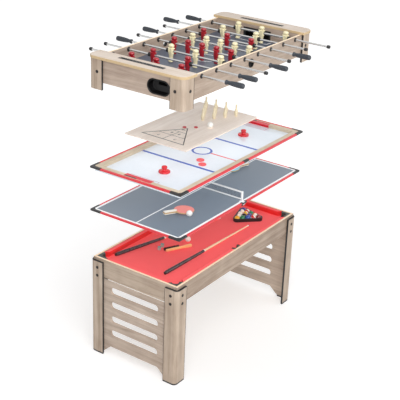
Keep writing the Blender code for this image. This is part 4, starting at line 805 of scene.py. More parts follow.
def edging(body, half, bottom, top, lip):
    """Red band with its lip on the top, and black guards at its corners and long sides' middles."""
    bm = bmesh.new()
    section = [(0.0, 0.0, bottom), (0.0, BAND_WALL, bottom), (0.0, BAND_WALL, top + BAND_LIP_PROUD),
               (lip, 0.0, top + BAND_LIP_PROUD), (lip, 0.0, top), (0.0, 0.0, top)]
    rings = [[(x, y, z) for x, y in around(half[0] + outward - inward, half[1] + outward - inward)]
             for inward, outward, z in section]
    loft(bm, rings, closed=True)
    form(f"{body}_edge_band", bm, red_band, body, (), EDGE_FOLD)
    wall, skin = BAND_WALL + GUARD_WALL, BAND_WALL + GUARD_WALL / 2
    cover = top + BAND_LIP_PROUD + GUARD_WALL
    under = top + (BAND_LIP_PROUD + GUARD_WALL) / 2
    hold, leg, gusset, corner = -lip - GUARD_WALL, -GUARD_LEG, -GUARD_GUSSET, wall - GUARD_CHAMFER
    outer = [(leg, wall), (corner, wall), (wall, corner), (wall, leg)]
    upright = [*outer, (skin, leg), (skin, skin), (leg, skin)]
    flap = [*outer, (hold, leg), (hold, gusset), (gusset, hold), (leg, hold)]
    for number, (sx, sy) in enumerate(CORNERS, 1):
        bm = bmesh.new()
        for plan, low, high in ((upright, bottom, under), (flap, under, cover)):
            prism(bm, [(x * sx + sx * half[0], y * sy + sy * half[1]) for x, y in plan], low, high)
        trim(f"{body}_corner_guard_{number}", bm, body, EDGE_FOLD / 2)
    fold = [(hold, under), (hold, cover), (wall, cover), (wall, bottom), (skin, bottom), (skin, under)]
    for number, side in enumerate((-1, 1), 1):
        bm = bmesh.new()
        prism(bm, [(side * (half[1] + y), z) for y, z in fold], -GUARD_MIDDLE / 2, GUARD_MIDDLE / 2, "X")
        trim(f"{body}_middle_guard_{number}", bm, body, EDGE_FOLD / 2)


tennis_low, tennis_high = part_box("tennis_board")
tennis_top = tennis_low.z + PLAY_BOARD
half = (tennis_high.x, tennis_high.y)
rim = (half[0] - TENNIS_RIM, half[1] - TENNIS_RIM)
field = [side - TENNIS_LIP - TENNIS_BORDER for side in half]
xs = [-rim[0], -field[0], field[0], rim[0]]
ys = [-rim[1], -field[1], -TENNIS_LINE / 2, TENNIS_LINE / 2, field[1], rim[1]]
bm = bmesh.new()
grid = [[bm.verts.new((x, y, tennis_top)) for y in ys] for x in xs]
for i in range(len(xs) - 1):
    for j in range(len(ys) - 1):
        face = bm.faces.new((grid[i][j], grid[i + 1][j], grid[i + 1][j + 1], grid[i][j + 1]))
        face.material_index = int(i in (0, 2) or j in (0, 2, 4))
upper = [*grid[0], *[column[-1] for column in grid[1:]]]
upper += [*grid[-1][-2::-1], *[column[0] for column in grid[-2:0:-1]]]
lower = [bm.verts.new((vert.co.x, vert.co.y, tennis_low.z)) for vert in upper]
bare = [bm.faces.new(lower)]
bare += [bm.faces.new((upper[i - 1], upper[i], lower[i], lower[i - 1])) for i in range(len(upper))]
for face in bare:
    face.material_index = 2
form("tennis_playing_board", bm, (slate_print, white_print, back_board), "tennis",
     ["tennis_board"])
edging("tennis", half, tennis_top - TENNIS_BAND, tennis_top, TENNIS_LIP)

# Net. White tape is sewn round a knotted black mesh, and the ends are sleeved over posts on
# bent clamps that hook over the board. A thumb screw under each clamp grips it.

NET_REACH = 0.3198
NET_FOOT = 0.012
NET_TOP = 0.070
NET_TAPE = 0.011
NET_LOWER_TAPE = 0.009
NET_TAPE_THICKNESS = 0.0016
NET_STRAND = 0.0007
NET_COLUMNS = 62
NET_ROWS = 6
POST_RADIUS = 0.005
POST_CROWN = ((0, -0.001), (-0.0015, 0.0012))
CLAMP_LENGTH = 0.034
CLAMP_WIDTH = 0.022
CLAMP_WALL = 0.003
SCREW_RADIUS = 0.008
SCREW_RIBS = 12
SCREW_RIB_DEPTH = 0.04
SCREW_SECTIONS = ((0.8, 0), (1, 0.0015), (1, 0.0105), (0.8, 0.0120))


def screw_radius(angle, share):
    """Radius of the ribbed thumb screw at an angle."""
    return SCREW_RADIUS * share * (1 - SCREW_RIB_DEPTH * (1 + math.cos(SCREW_RIBS * angle)))


net_tape = plain("net_tape", paint(248, 248, 246), 0.8, 0.04, 500, bump=0.3)
net_twine = plain("net_twine", paint(58, 66, 72), 0.8, 0.15, 300)
post_white = plain("post_white", paint(236, 238, 240), 0.4, 0.05)
bm = bmesh.new()
foot, head = tennis_top + NET_FOOT, tennis_top + NET_TOP
half_tape, half_strand = NET_TAPE_THICKNESS / 2, NET_STRAND / 2
for bottom, top in ((head - NET_TAPE, head), (foot, foot + NET_LOWER_TAPE)):
    box(bm, (-half_tape, -NET_REACH, bottom), (half_tape, NET_REACH, top))
for side in (-1, 1):
    box(bm, (-half_tape, side * (NET_REACH - NET_TAPE), foot + NET_LOWER_TAPE),
        (half_tape, side * NET_REACH, head - NET_TAPE))
form("net_tapes", bm, net_tape, "tennis", ["net"], half_tape / 2)
bm = bmesh.new()
for column in range(1, NET_COLUMNS):
    y = NET_REACH * (2 * column / NET_COLUMNS - 1)
    box(bm, (-half_strand, y - half_strand, foot), (half_strand, y + half_strand, head - NET_TAPE / 2))
for row in range(1, NET_ROWS):
    z = foot + NET_LOWER_TAPE + (head - foot - NET_TAPE - NET_LOWER_TAPE) * row / NET_ROWS
    box(bm, (-NET_STRAND / 3, -NET_REACH, z - half_strand), (NET_STRAND / 3, NET_REACH, z + half_strand))
form("net_mesh", bm, net_twine, "tennis", ["net"])
for side, where in SIDE_NAMES.items():
    profile = [(POST_RADIUS, tennis_top + CLAMP_WALL)]
    profile += [(POST_RADIUS + r, head + z) for r, z in POST_CROWN]
    post = turning("post", profile, post_white, 24, laid((0, side * NET_REACH), 0))
    hang(f"net_post_{where}", post, "tennis", ["net"])
    grip, outer = half[1] + SEAT_GAP, half[1] + SEAT_GAP + CLAMP_WALL
    lip, up, down = outer - CLAMP_LENGTH, tennis_top + SEAT_GAP, tennis_low.z - SEAT_GAP
    hook = [(lip, up + CLAMP_WALL), (outer, up + CLAMP_WALL), (outer, down - CLAMP_WALL),
            (lip, down - CLAMP_WALL), (lip, down), (grip, down), (grip, up), (lip, up)]
    bm = bmesh.new()
    prism(bm, [(side * y, z) for y, z in hook], -CLAMP_WIDTH / 2, CLAMP_WIDTH / 2, "X")
    form(f"net_clamp_{where}", bm, post_white, "tennis", ["net"], EDGE_FOLD)
    bm = bmesh.new()
    loft(bm, [ring_about(4 * SCREW_RIBS, down - CLAMP_WALL - z, lambda a: screw_radius(a, share),
                         side * NET_REACH) for share, z in SCREW_SECTIONS])
    form(f"net_screw_{where}", bm, black_moulding, "tennis", ["net"])

# Paddles and ball. A paddle is a plywood blade with rubber glued on both sides and two
# handle scales, rocked on its lower scale until the blade's far edge is down.

PADDLE_LENGTH = 0.205
BLADE_LENGTH = 0.127
BLADE_WIDTH = 0.118
BLADE_FOOT = 0.006
PLY_THICKNESS = 0.006
RUBBER_THICKNESS = 0.0015
RUBBER_REVEAL = 0.0012
HANDLE_HALF_WIDTH = 0.0135
SCALE_THICKNESS = 0.006
SCALE_ROUNDING = 0.0028
THROAT_SHARE = 0.9
BLADE_ROUND = 150
SCALE_SHARES = (
    (0.02, -0.96), (0.5, -0.80), (1, -0.80), (1.12, -0.4), (1.15, 0), (1.12, 0.4), (1, 0.80), (0.5, 0.80),
    (0.02, 0.96),
)
PADDLES = (("paddle_red", (-0.3814, -0.1057), -24, paint(252, 150, 140)),
           ("paddle_blue", (0.4349, 0.0162), 158, paint(160, 224, 238)))
TENNIS_BALL_PLACE = (-0.3855, -0.1901)

ply = plain("ply", paint(206, 172, 128), 0.6, 0.12, 260)
handle_wood = plain("handle_wood", paint(250, 243, 232), 0.45, 0.07, 120)
celluloid = plain("celluloid", paint(248, 246, 242), 0.5, 0.02)
handle = PADDLE_LENGTH - BLADE_LENGTH
pivot = handle * SCALE_SHARES[4][0]


def blade_plan(inset):
    """Round blade, drawn in by an inset."""
    half_length, half_width = BLADE_LENGTH / 2 - inset, BLADE_WIDTH / 2 - inset
    return [(PADDLE_LENGTH - BLADE_LENGTH / 2 + half_length * x, half_width * y)
            for x, y in arc(0, 0, 1, -BLADE_ROUND, BLADE_ROUND, 48)]


for name, place, turn, colour in PADDLES:
    lie = laid(place, tennis_top + SEAT_GAP, math.radians(turn))
    lie = lie @ Matrix.Translation((pivot - PADDLE_LENGTH / 2, 0, 0))
    lie = lie @ Matrix.Rotation(math.atan2(BLADE_FOOT, PADDLE_LENGTH - pivot), 4, "Y")
    lie = lie @ Matrix.Translation((-pivot, 0, 0))
    bm = bmesh.new()
    neck = [(0, -HANDLE_HALF_WIDTH), (handle * THROAT_SHARE, -HANDLE_HALF_WIDTH)]
    plan = neck + blade_plan(0) + [(x, -y) for x, y in reversed(neck)]
    core = BLADE_FOOT + RUBBER_THICKNESS
    prism(bm, plan, core, core + PLY_THICKNESS, "Z", lie)
    form(f"{name}_blade", bm, ply, "tennis", [name], EDGE_FOLD / 2)
    rubber = plain(f"{name}_rubber", colour, 0.55, 0.04, 400, bump=0.25)
    for number, z in enumerate((BLADE_FOOT, core + PLY_THICKNESS), 1):
        bm = bmesh.new()
        prism(bm, blade_plan(RUBBER_REVEAL), z, z + RUBBER_THICKNESS, "Z", lie)
        form(f"{name}_rubber_{number}", bm, rubber, "tennis",
             [name], EDGE_FOLD / 2)
    for number, z in enumerate((0, core + PLY_THICKNESS), 1):
        bm = bmesh.new()
        plan = [(x * handle, y * HANDLE_HALF_WIDTH) for x, y in SCALE_SHARES]
        reach = SCALE_THICKNESS + RUBBER_THICKNESS
        prism(bm, plan, z, z + reach, "Z", lie)
        form(f"{name}_scale_{number}", bm, handle_wood, "tennis", [name], SCALE_ROUNDING)
hang("tennis_ball", ball_mesh(celluloid), "tennis", ["tennis_board"],
     matrix=laid(TENNIS_BALL_PLACE, tennis_top + BALL_RADIUS))

# Glide-hockey top. A glossy white board, printed with its lines, under a mitred oak frame that
# is rabbeted for the same band and guards. It is let back at each end for a hooded red goal.

FRAME_HEIGHT = 0.021
FRAME_WIDTH = 0.048
GOAL_DEPTH = 0.028
GOAL_HALF = 0.100
GOAL_LINER = 0.0014
# Size and start of a black plate on each goal's hood: a painted shadow of the goal's recess.
GOAL_SHADOW_PLATE = (0.012, 0.088)
GOAL_SHADOW_START = 0.008
GOAL_HOOD = (0.0035, 0.0015)
GOAL_HOOD_PROUD = 0.012
LINER_ROUNDING = 0.0004
HOCKEY_LIP = 0.013
HOCKEY_BAND = 0.010
BOARD_INSET = 0.018
BLUE_LINE = 0.020
BLUE_PLACE = 0.240
RED_LINE = 0.012
CENTRE_RING = 0.067
CENTRE_RING_WIDTH = 0.014
CREASE_DEPTH = 0.056
CREASE_HALF = 0.104
CREASE_LINE = 0.0032
PRINT_PROUD = 0.0003

glide_white = plain("glide_white", paint(232, 242, 252), 0.16, 0.02, 50, Coat_Weight=0.4,
                    Coat_Roughness=0.1)
print_blue = plain("print_blue", paint(52, 92, 188), 0.3, 0.04)
print_red = plain("print_red", paint(224, 62, 80), 0.3, 0.04)
print_grey = plain("print_grey", paint(176, 130, 140), 0.35, 0.04)
frame_paints = (paint(224, 210, 188), paint(190, 172, 146))
frame_long = board_finish("frame_long", GRAIN_LONG, (5, 2, 9), *frame_paints)
frame_cross = board_finish("frame_cross", GRAIN_CROSS, (8, 6, 1), *frame_paints)
goal_red = plain("goal_red", paint(222, 50, 66), 0.35, 0.06)


def ribbon(bm, points, width, low, high, closed=False):
    """Flat printed line of one width along points in plan, with mitred corners."""
    count = len(points)
    sides = []
    for i, point in enumerate(points):
        here = Vector(point)
        before = Vector(points[i - 1]) if closed or i else here
        after = Vector(points[(i + 1) % count]) if closed or i < count - 1 else here
        ways = [way.normalized() for way in (here - before, after - here) if way.length > 0]
        along = sum(ways, Vector((0, 0))).normalized()
        across = Vector((-along.y, along.x)) * width / 2 / max(along.dot(ways[0]), 0.3)
        sides.append((here - across, here + across))
    rings = []
    for left, right in sides:
        rings.append([(*left, low), (*right, low), (*right, high), (*left, high)])
    loft(bm, rings, closed)


def printed(bm, points, width, level, closed=False):
    """Ribbon of ink, half sunk in the board's top."""
    ribbon(bm, points, width, level - PRINT_PROUD, level + PRINT_PROUD, closed)


def circle(x, y, radius, points):
    """Points evenly round a circle."""
    return arc(x, y, radius, 0, 360, points)[:-1]


hockey_low, hockey_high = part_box("hockey_frame")
half = (hockey_high.x, hockey_high.y)
ice = hockey_high.z - FRAME_HEIGHT - SEAT_GAP
board_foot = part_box("hockey_board")[0].z
bm = bmesh.new()
x, y = half[0] - BOARD_INSET, half[1] - BOARD_INSET
box(bm, (-x, -y, board_foot), (x, y, ice))
form("hockey_playing_board", bm, glide_white, "hockey", ["hockey_board"], EDGE_FOLD)
inner = (half[0] - FRAME_WIDTH, half[1] - FRAME_WIDTH)
blue, red, grey = bmesh.new(), bmesh.new(), bmesh.new()
for side in (-1, 1):
    printed(blue, [(side * BLUE_PLACE, -inner[1]), (side * BLUE_PLACE, inner[1])], BLUE_LINE, ice)
    printed(red, [(0, side * CENTRE_RING), (0, side * inner[1])], RED_LINE, ice)
    goal, crease = side * inner[0], side * (inner[0] - CREASE_DEPTH)
    printed(grey, [(goal, -CREASE_HALF), (crease, -CREASE_HALF), (crease, CREASE_HALF),
                   (goal, CREASE_HALF)], CREASE_LINE, ice)
printed(blue, circle(0, 0, CENTRE_RING - CENTRE_RING_WIDTH / 2, 64), CENTRE_RING_WIDTH, ice, True)
for number, (bm, look) in enumerate(((blue, print_blue), (red, print_red), (grey, print_grey)), 1):
    form(f"hockey_print_{number}", bm, look, "hockey", ["hockey_board"])
band_foot = hockey_high.z - HOCKEY_BAND
rabbet = ((BOARD_INSET, hockey_low.z, band_foot), (0, band_foot, hockey_high.z))
goal_x = inner[0] + GOAL_DEPTH
hood_foot, hood_top = (hockey_high.z - drop for drop in GOAL_HOOD)


def frame_rail(where, look, plan):
    """Mitred rail from its plan, whose points that stand out are set in below the band."""
    bm = bmesh.new()
    for inset, bottom, top in rabbet:
        drawn_in = [(x - math.copysign(inset, x), y - math.copysign(inset, y)) if out else (x, y)
                    for x, y, out in plan]
        prism(bm, drawn_in, bottom, top)
    form(f"hockey_rail_{where}", bm, look, "hockey", ["hockey_frame"], EDGE_FOLD)


for side, where in SIDE_NAMES.items():
    outer_y, inner_y = side * half[1], side * inner[1]
    frame_rail(where, frame_long, [(-half[0], outer_y, True), (half[0], outer_y, True),
                                   (inner[0], inner_y, False), (-inner[0], inner_y, False)])
for side, where in END_NAMES.items():
    outer_x, inner_x, back_x = side * half[0], side * inner[0], side * goal_x
    frame_rail(where, frame_cross, [
        (outer_x, half[1], True), (inner_x, inner[1], False), (inner_x, GOAL_HALF, False),
        (back_x, GOAL_HALF, False), (back_x, -GOAL_HALF, False), (inner_x, -GOAL_HALF, False),
        (inner_x, -inner[1], False), (outer_x, -half[1], True)])
    mouth_x, deep_x = inner[0] + GOAL_LINER, goal_x - GOAL_LINER
    tray = [(mouth_x, GOAL_HALF), (goal_x, GOAL_HALF), (goal_x, -GOAL_HALF), (mouth_x, -GOAL_HALF),
            (mouth_x, -GOAL_HALF + GOAL_LINER), (deep_x, -GOAL_HALF + GOAL_LINER),
            (deep_x, GOAL_HALF - GOAL_LINER), (mouth_x, GOAL_HALF - GOAL_LINER)]
    bm = bmesh.new()
    prism(bm, [(side * x, y) for x, y in tray], ice, hood_foot)
    box(bm, (inner_x, -GOAL_HALF, ice), (back_x, GOAL_HALF, ice + GOAL_LINER))
    box(bm, (side * (inner[0] - GOAL_HOOD_PROUD), -GOAL_HALF, hood_foot), (back_x, GOAL_HALF, hood_top))
    form(f"goal_liner_{where}", bm, goal_red, "hockey", (), LINER_ROUNDING)
    # A thin black plate along the back of the hood, on its +Y half, is a painted shadow.
    bm = bmesh.new()
    box(bm, (side * (goal_x - GOAL_SHADOW_PLATE[0]), GOAL_SHADOW_START, hood_top),
        (back_x, GOAL_SHADOW_START + GOAL_SHADOW_PLATE[1], hood_top + PRINT_PROUD))
    trim(f"goal_painted_shadow_{where}", bm, "hockey")
edging("hockey", half, band_foot, hockey_high.z, HOCKEY_LIP)

# Strikers and pucks. Each striker is one red moulding with a rim, a saucer and a knob. The
# pucks are flat red discs with a step under their edge.

STRIKER_PLACES = ((-0.4349, -0.0310), (0.4047, -0.0478))
STRIKER_PROFILE = (
    (0.0345, 0), (0.0362, 0.0012), (0.0366, 0.0060), (0.0358, 0.0100), (0.0335, 0.0122),
    (0.0290, 0.0130), (0.0225, 0.0142), (0.0170, 0.0168), (0.0140, 0.0205), (0.0138, 0.0232),
    (0.0154, 0.0262), (0.0176, 0.0300), (0.0180, 0.0340), (0.0166, 0.0382), (0.0126, 0.0410),
    (0.0070, 0.0420), (0.0010, 0.0420),
)
GLIDE_PUCKS = ((-0.1399, -0.0861), (-0.1893, -0.1359))
PUCK_PROFILE = ((0.0238, 0), (0.0248, 0.0010), (0.0250, 0.0030), (0.0246, 0.0052), (0.0232, 0.0060),
                (0.0200, 0.0056), (0.0020, 0.0056))

striker_red = plain("striker_red", paint(214, 34, 46), 0.22, 0.05, 60, Coat_Weight=0.4)
puck_red = plain("puck_red", paint(238, 84, 92), 0.3, 0.04, 60)
for lot, places, profile, look in (("striker", STRIKER_PLACES, STRIKER_PROFILE, striker_red),
                                   ("glide_puck", GLIDE_PUCKS, PUCK_PROFILE, puck_red)):
    for number, place in enumerate(places, 1):
        hang(f"{lot}_{number}", turning(lot, profile, look, 48), "hockey", ["hockey_board"],
             matrix=laid(place, ice))

# Bowling and shuffleboard. A loose printed board with a shuffle triangle at one end and ten
# turned pins at the other. The ball and the two small pucks lie between them.

LANE_BOARD = 0.008
TRIANGLE_APEX = (-0.1437, 0.0157)
TRIANGLE_BASE = ((-0.3767, 0.1877), (-0.3857, -0.1283))
TRIANGLE_LINE = 0.0062
TRIANGLE_FINE = 0.0032
CROSS_SHARES = (0.36, 0.68)
CELL_DIGITS = (
    (0.86, 0.5, "10"), (0.52, 0.32, "8"), (0.52, 0.68, "8"), (0.18, 0.26, "7"), (0.18, 0.74, "7"),
)
DIGIT_SIZE = 0.030
PIN_HEIGHT = 0.080
PIN_RADIUS = 0.0125
PIN_PROFILE_SHARES = (
    (0.58, 0), (0.66, 0.02), (0.80, 0.12), (0.98, 0.28), (1, 0.34), (0.92, 0.44), (0.62, 0.58),
    (0.44, 0.68), (0.42, 0.74), (0.50, 0.84), (0.52, 0.90), (0.42, 0.96), (0.22, 0.99), (0.06, 1),
)
PIN_ROWS = 4
PIN_PITCH = 0.078
PIN_HEAD = 0.0436
SHUFFLE_PUCKS = ((-0.0945, -0.0121), (-0.1397, 0.0428))
BOWLING_BALL_PLACE = (-0.0383, -0.0809)
SMALL_PUCK_PROFILE = ((0.0112, 0), (0.0120, 0.0008), (0.0120, 0.0050), (0.0110, 0.0060),
                      (0.0080, 0.0054), (0.0010, 0.0054))

lane_oak = board_finish("lane_oak", (2.0, 30, 30), (2, 9, 4), paint(252, 240, 229), paint(230, 214, 200))
print_black = plain("print_black", paint(40, 38, 38), 0.4, 0.08)
pin_wood = plain("pin_wood", paint(240, 227, 194), 0.35, 0.06, 130, Coat_Weight=0.3)
small_puck_red = plain("small_puck_red", paint(188, 52, 60), 0.35, 0.05)
lane_low, lane_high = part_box("bowling_board")
lane = lane_low.z + LANE_BOARD
bm = bmesh.new()
box(bm, lane_low, (lane_high.x, lane_high.y, lane))
form("bowling_lane", bm, lane_oak, "bowling", ["bowling_board"], BOARD_EDGE)


def in_triangle(towards_apex, across):
    """Point in the shuffle triangle, by its shares from base to apex and across."""
    edges = [Vector(base).lerp(Vector(TRIANGLE_APEX), towards_apex) for base in TRIANGLE_BASE]
    return edges[0].lerp(edges[1], across)


bm = bmesh.new()
outline = [in_triangle(0, 0), in_triangle(0, 1), in_triangle(1, 0.5)]
printed(bm, outline, TRIANGLE_LINE, lane, closed=True)
for share in CROSS_SHARES:
    printed(bm, [in_triangle(share, 0), in_triangle(share, 1)], TRIANGLE_FINE, lane)
printed(bm, [in_triangle(0, 0.5), in_triangle(CROSS_SHARES[1], 0.5)], TRIANGLE_FINE, lane)
form("shuffle_triangle", bm, print_black, "bowling", ["bowling_board"])
for number, (towards_apex, across, digits) in enumerate(CELL_DIGITS, 1):
    letters = bpy.data.curves.new("digits", "FONT")
    letters.body = digits
    letters.size = DIGIT_SIZE
    letters.align_x = letters.align_y = "CENTER"
    letters.extrude = PRINT_PROUD / 2
    letters.materials.append(print_black)
    hang(f"shuffle_digits_{number}", letters, "bowling", ["bowling_board"],
         matrix=laid(in_triangle(towards_apex, across), lane + PRINT_PROUD, math.pi / 2))
number = 0
pin_mesh = turning("pin", [(r * PIN_RADIUS, z * PIN_HEIGHT) for r, z in PIN_PROFILE_SHARES], pin_wood, 24)
for row in range(PIN_ROWS):
    for i in range(row + 1):
        number += 1
        x = PIN_HEAD + row * PIN_PITCH * math.sqrt(3) / 2
        y = (lane_low.y + lane_high.y) / 2 + (i - row / 2) * PIN_PITCH
        hang(f"bowling_pin_{number}", pin_mesh, "bowling", ["bowling_board"],
             matrix=laid((x, y), lane))
small_puck = turning("shuffle_puck", SMALL_PUCK_PROFILE, small_puck_red)
for number, place in enumerate(SHUFFLE_PUCKS, 1):
    hang(f"shuffle_puck_{number}", small_puck, "bowling", ["bowling_board"],
         matrix=laid(place, lane))
hang("bowling_ball", ball_mesh(ball_white), "bowling", ["bowling_board"],
     matrix=laid(BOWLING_BALL_PLACE, lane + BALL_RADIUS))

# Foosball cabinet. Four posts of the legs' section, two long walls and a return box at each
# end, all of oak-faced board, carry the slate field with its printed white lines. The boxes are
# near black inside, which is painted shade, and a black plastic trim lines each goal's mouth.

POST_BOLT_OFFSET = 0.060
POST_BOLT_HEIGHT = 1.885
WALL_BOARD = 0.015
ROD_COUNT = 8
BEARING_HOLE = 0.0100
ENTRY_LEVEL = 1.904
ENTRY_RADIUS = 0.0205
TRAY_BOARD = 0.004
GOAL_MOUTH = (0.095, 0.060)
GOAL_TRIM = 0.009
GOAL_TRIM_PROUD = 0.0015
CUP_LENGTH = 0.150
CUP_HEIGHT = 0.080
CUP_WALL = 0.003
FIELD_LINE = 0.0065
FIELD_MARGIN = 0.006
FIELD_CIRCLE = 0.075
AREA = (0.130, 0.175)
SMALL_AREA = (0.055, 0.115)
AREA_ARC = 0.070
AREA_ARC_SHARE = 0.82
AREA_ARC_TURN = 68
GOAL_TRIM_ROUNDING = 0.0005
WALL_FACE = TABLE_HALF.y - LEG_BOARD - SEAT_GAP


def middle_of(node_name):
    """Middle of a node's box."""
    return [(low + high) / 2 for low, high in zip(*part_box(node_name))]


rod_places = [middle_of(f"bumper_{k}")[0] for k in range(1, ROD_COUNT + 1)]
rod_level = middle_of("bumper_1")[2]
wall_oak = board_finish("wall_oak", GRAIN_LONG, (4, 8, 2), paint(192, 174, 158), paint(152, 132, 115))
box_oak = board_finish("box_oak", GRAIN_CROSS, (6, 3, 8), paint(197, 178, 163), paint(154, 134, 119))
# Near black for the inside faces of the return boxes: painted shade.
box_inside_shade = plain("box_inside_shade", paint(9, 8, 9), 0.7, 0.1, 120, Specular_IOR_Level=0.2)
field_slate = plain("field_slate", paint(84, 92, 108), 0.4, 0.05, 200)
for sx, sy in CORNERS:
    where = f"{SIDE_NAMES[sy]}_{END_NAMES[sx]}"
    corner_moulding(f"post_{where}", sx, sy, "foosball", 0, 0, POST_BOLT_OFFSET, (POST_BOLT_HEIGHT,))
for side, where in SIDE_NAMES.items():
    low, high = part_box(f"side_wall_{where}")
    near, far = sorted((side * WALL_FACE, side * WALL_FACE - side * WALL_BOARD))
    bm, holes = bmesh.new(), bmesh.new()
    box(bm, (low.x, near, low.z), (high.x, far, high.z))
    drilled = [(x, rod_level, BEARING_HOLE, 24) for x in rod_places]
    for hole in (*drilled, (0, ENTRY_LEVEL, ENTRY_RADIUS, 32)):
        prism(holes, circle(*hole), near - CUT_OVERRUN, far + CUT_OVERRUN, "Y")
    bm = cut(bm, holes)
    # The top faces take the cream band with its painted highlight.
    finish_top(bm.faces, high.z - BOARD_EDGE)
    form(f"side_wall_{where}_board", bm, (wall_oak, cream_band_and_highlight), "foosball",
         [f"side_wall_{where}"], BOARD_EDGE / 2)

field_low, field_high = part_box("playfield")
field_top = field_high.z
for side, where in END_NAMES.items():
    low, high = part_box(f"return_box_{where}")
    near, far = (low.x, high.x) if side > 0 else (high.x, low.x)
    near_board, far_board = near + side * WALL_BOARD, far - side * WALL_BOARD
    tray = low.z + TRAY_BOARD
    channel = [(near, low.z), (far, low.z), (far, high.z), (far_board, high.z), (far_board, tray),
               (near_board, tray), (near_board, high.z), (near, high.z)]
    bm, holes = bmesh.new(), bmesh.new()
    prism(bm, channel, low.y, high.y, "Y")
    cup_middle = middle_of(f"return_cup_{where}")[1:]
    oval = rounded(*cup_middle, CUP_LENGTH, CUP_HEIGHT, CUP_HEIGHT / 2 - SEAT_GAP, 16)
    ends = sorted((far - side * (WALL_BOARD + CUT_OVERRUN), far + side * CUT_OVERRUN))
    prism(holes, oval, ends[0], ends[1], "X")
    ends = sorted((near - side * CUT_OVERRUN, near + side * (WALL_BOARD + CUT_OVERRUN)))
    box(holes, (ends[0], -GOAL_MOUTH[0], field_top), (ends[1], GOAL_MOUTH[0], field_top + GOAL_MOUTH[1]))
    bm = cut(bm, holes)
    # Faces inside the box, between its end boards and off its top and bottom, take the painted shade.
    inside = sorted((near + side * (WALL_BOARD - BOARD_EDGE), far - side * (WALL_BOARD - BOARD_EDGE)))
    for face in bm.faces:
        x, _, z = face.calc_center_median()
        within = low.z + BOARD_EDGE < z < high.z - BOARD_EDGE
        face.material_index = int(within and inside[0] < x < inside[1])
    form(f"return_box_{where}_boards", bm, (box_oak, box_inside_shade), "foosball",
         [f"return_box_{where}"], BOARD_EDGE / 2)
    bm = bmesh.new()
    goal_arches = []
    for grow in (GOAL_TRIM, 0, -CUP_WALL):
        jamb, lintel = GOAL_MOUTH[0] + grow, field_top + GOAL_MOUTH[1] + grow
        goal_arches.append([(-jamb, field_top), (-jamb, lintel), (jamb, lintel), (jamb, field_top)])
    border, mouth, opening = goal_arches
    prism(bm, border + opening[::-1], near - side * GOAL_TRIM_PROUD, near, "X")
    prism(bm, mouth + opening[::-1], near, near_board, "X")
    trim(f"goal_frame_{where}", bm, "foosball", GOAL_TRIM_ROUNDING)

bm = bmesh.new()
box(bm, field_low, field_high)
form("playfield_board", bm, field_slate, "foosball", ["playfield"])
bm = bmesh.new()
printed(bm, [(0, field_low.y + FIELD_LINE), (0, field_high.y - FIELD_LINE)], FIELD_LINE, field_top)
printed(bm, circle(0, 0, FIELD_CIRCLE, 64), FIELD_LINE, field_top, True)
for side in (-1, 1):
    goal_line = side * (field_high.x - FIELD_MARGIN)
    for depth, half_width in (AREA, SMALL_AREA):
        inward = goal_line - side * depth
        printed(bm, [(goal_line, -half_width), (inward, -half_width), (inward, half_width),
                     (goal_line, half_width)], FIELD_LINE, field_top)
    turn = 0 if side < 0 else 180
    printed(bm, arc(goal_line - side * AREA[0] * AREA_ARC_SHARE, 0, AREA_ARC, turn - AREA_ARC_TURN,
                    turn + AREA_ARC_TURN, 24), FIELD_LINE, field_top)
form("playfield_lines", bm, white_print, "foosball", ["playfield"])

# End caps and scoring. A rounded board with a tan edge band covers each return box and post
# pair. Its oak print is paler than the other oak, as painted light on its top. Ten black beads
# slide in its groove to count the goals.

CAP_EDGE = 0.0026
CAP_CORNER = 0.050
GROOVE_X = 0.628
GROOVE = (0.305, 0.014, 0.010)
SCORE_PLATE = (0.008, 0.0008)
PLATE_ROUNDING = 0.0003
BEAD_COUNT = 10
BEAD_LENGTH = 0.024
BEAD_RADIUS = 0.0062
BEAD_SHARES = (
    (0.45, 0), (0.72, 0.01), (0.86, 0.08), (0.97, 0.25), (1, 0.5), (0.97, 0.75), (0.86, 0.92), (0.72, 0.99),
    (0.45, 1),
)

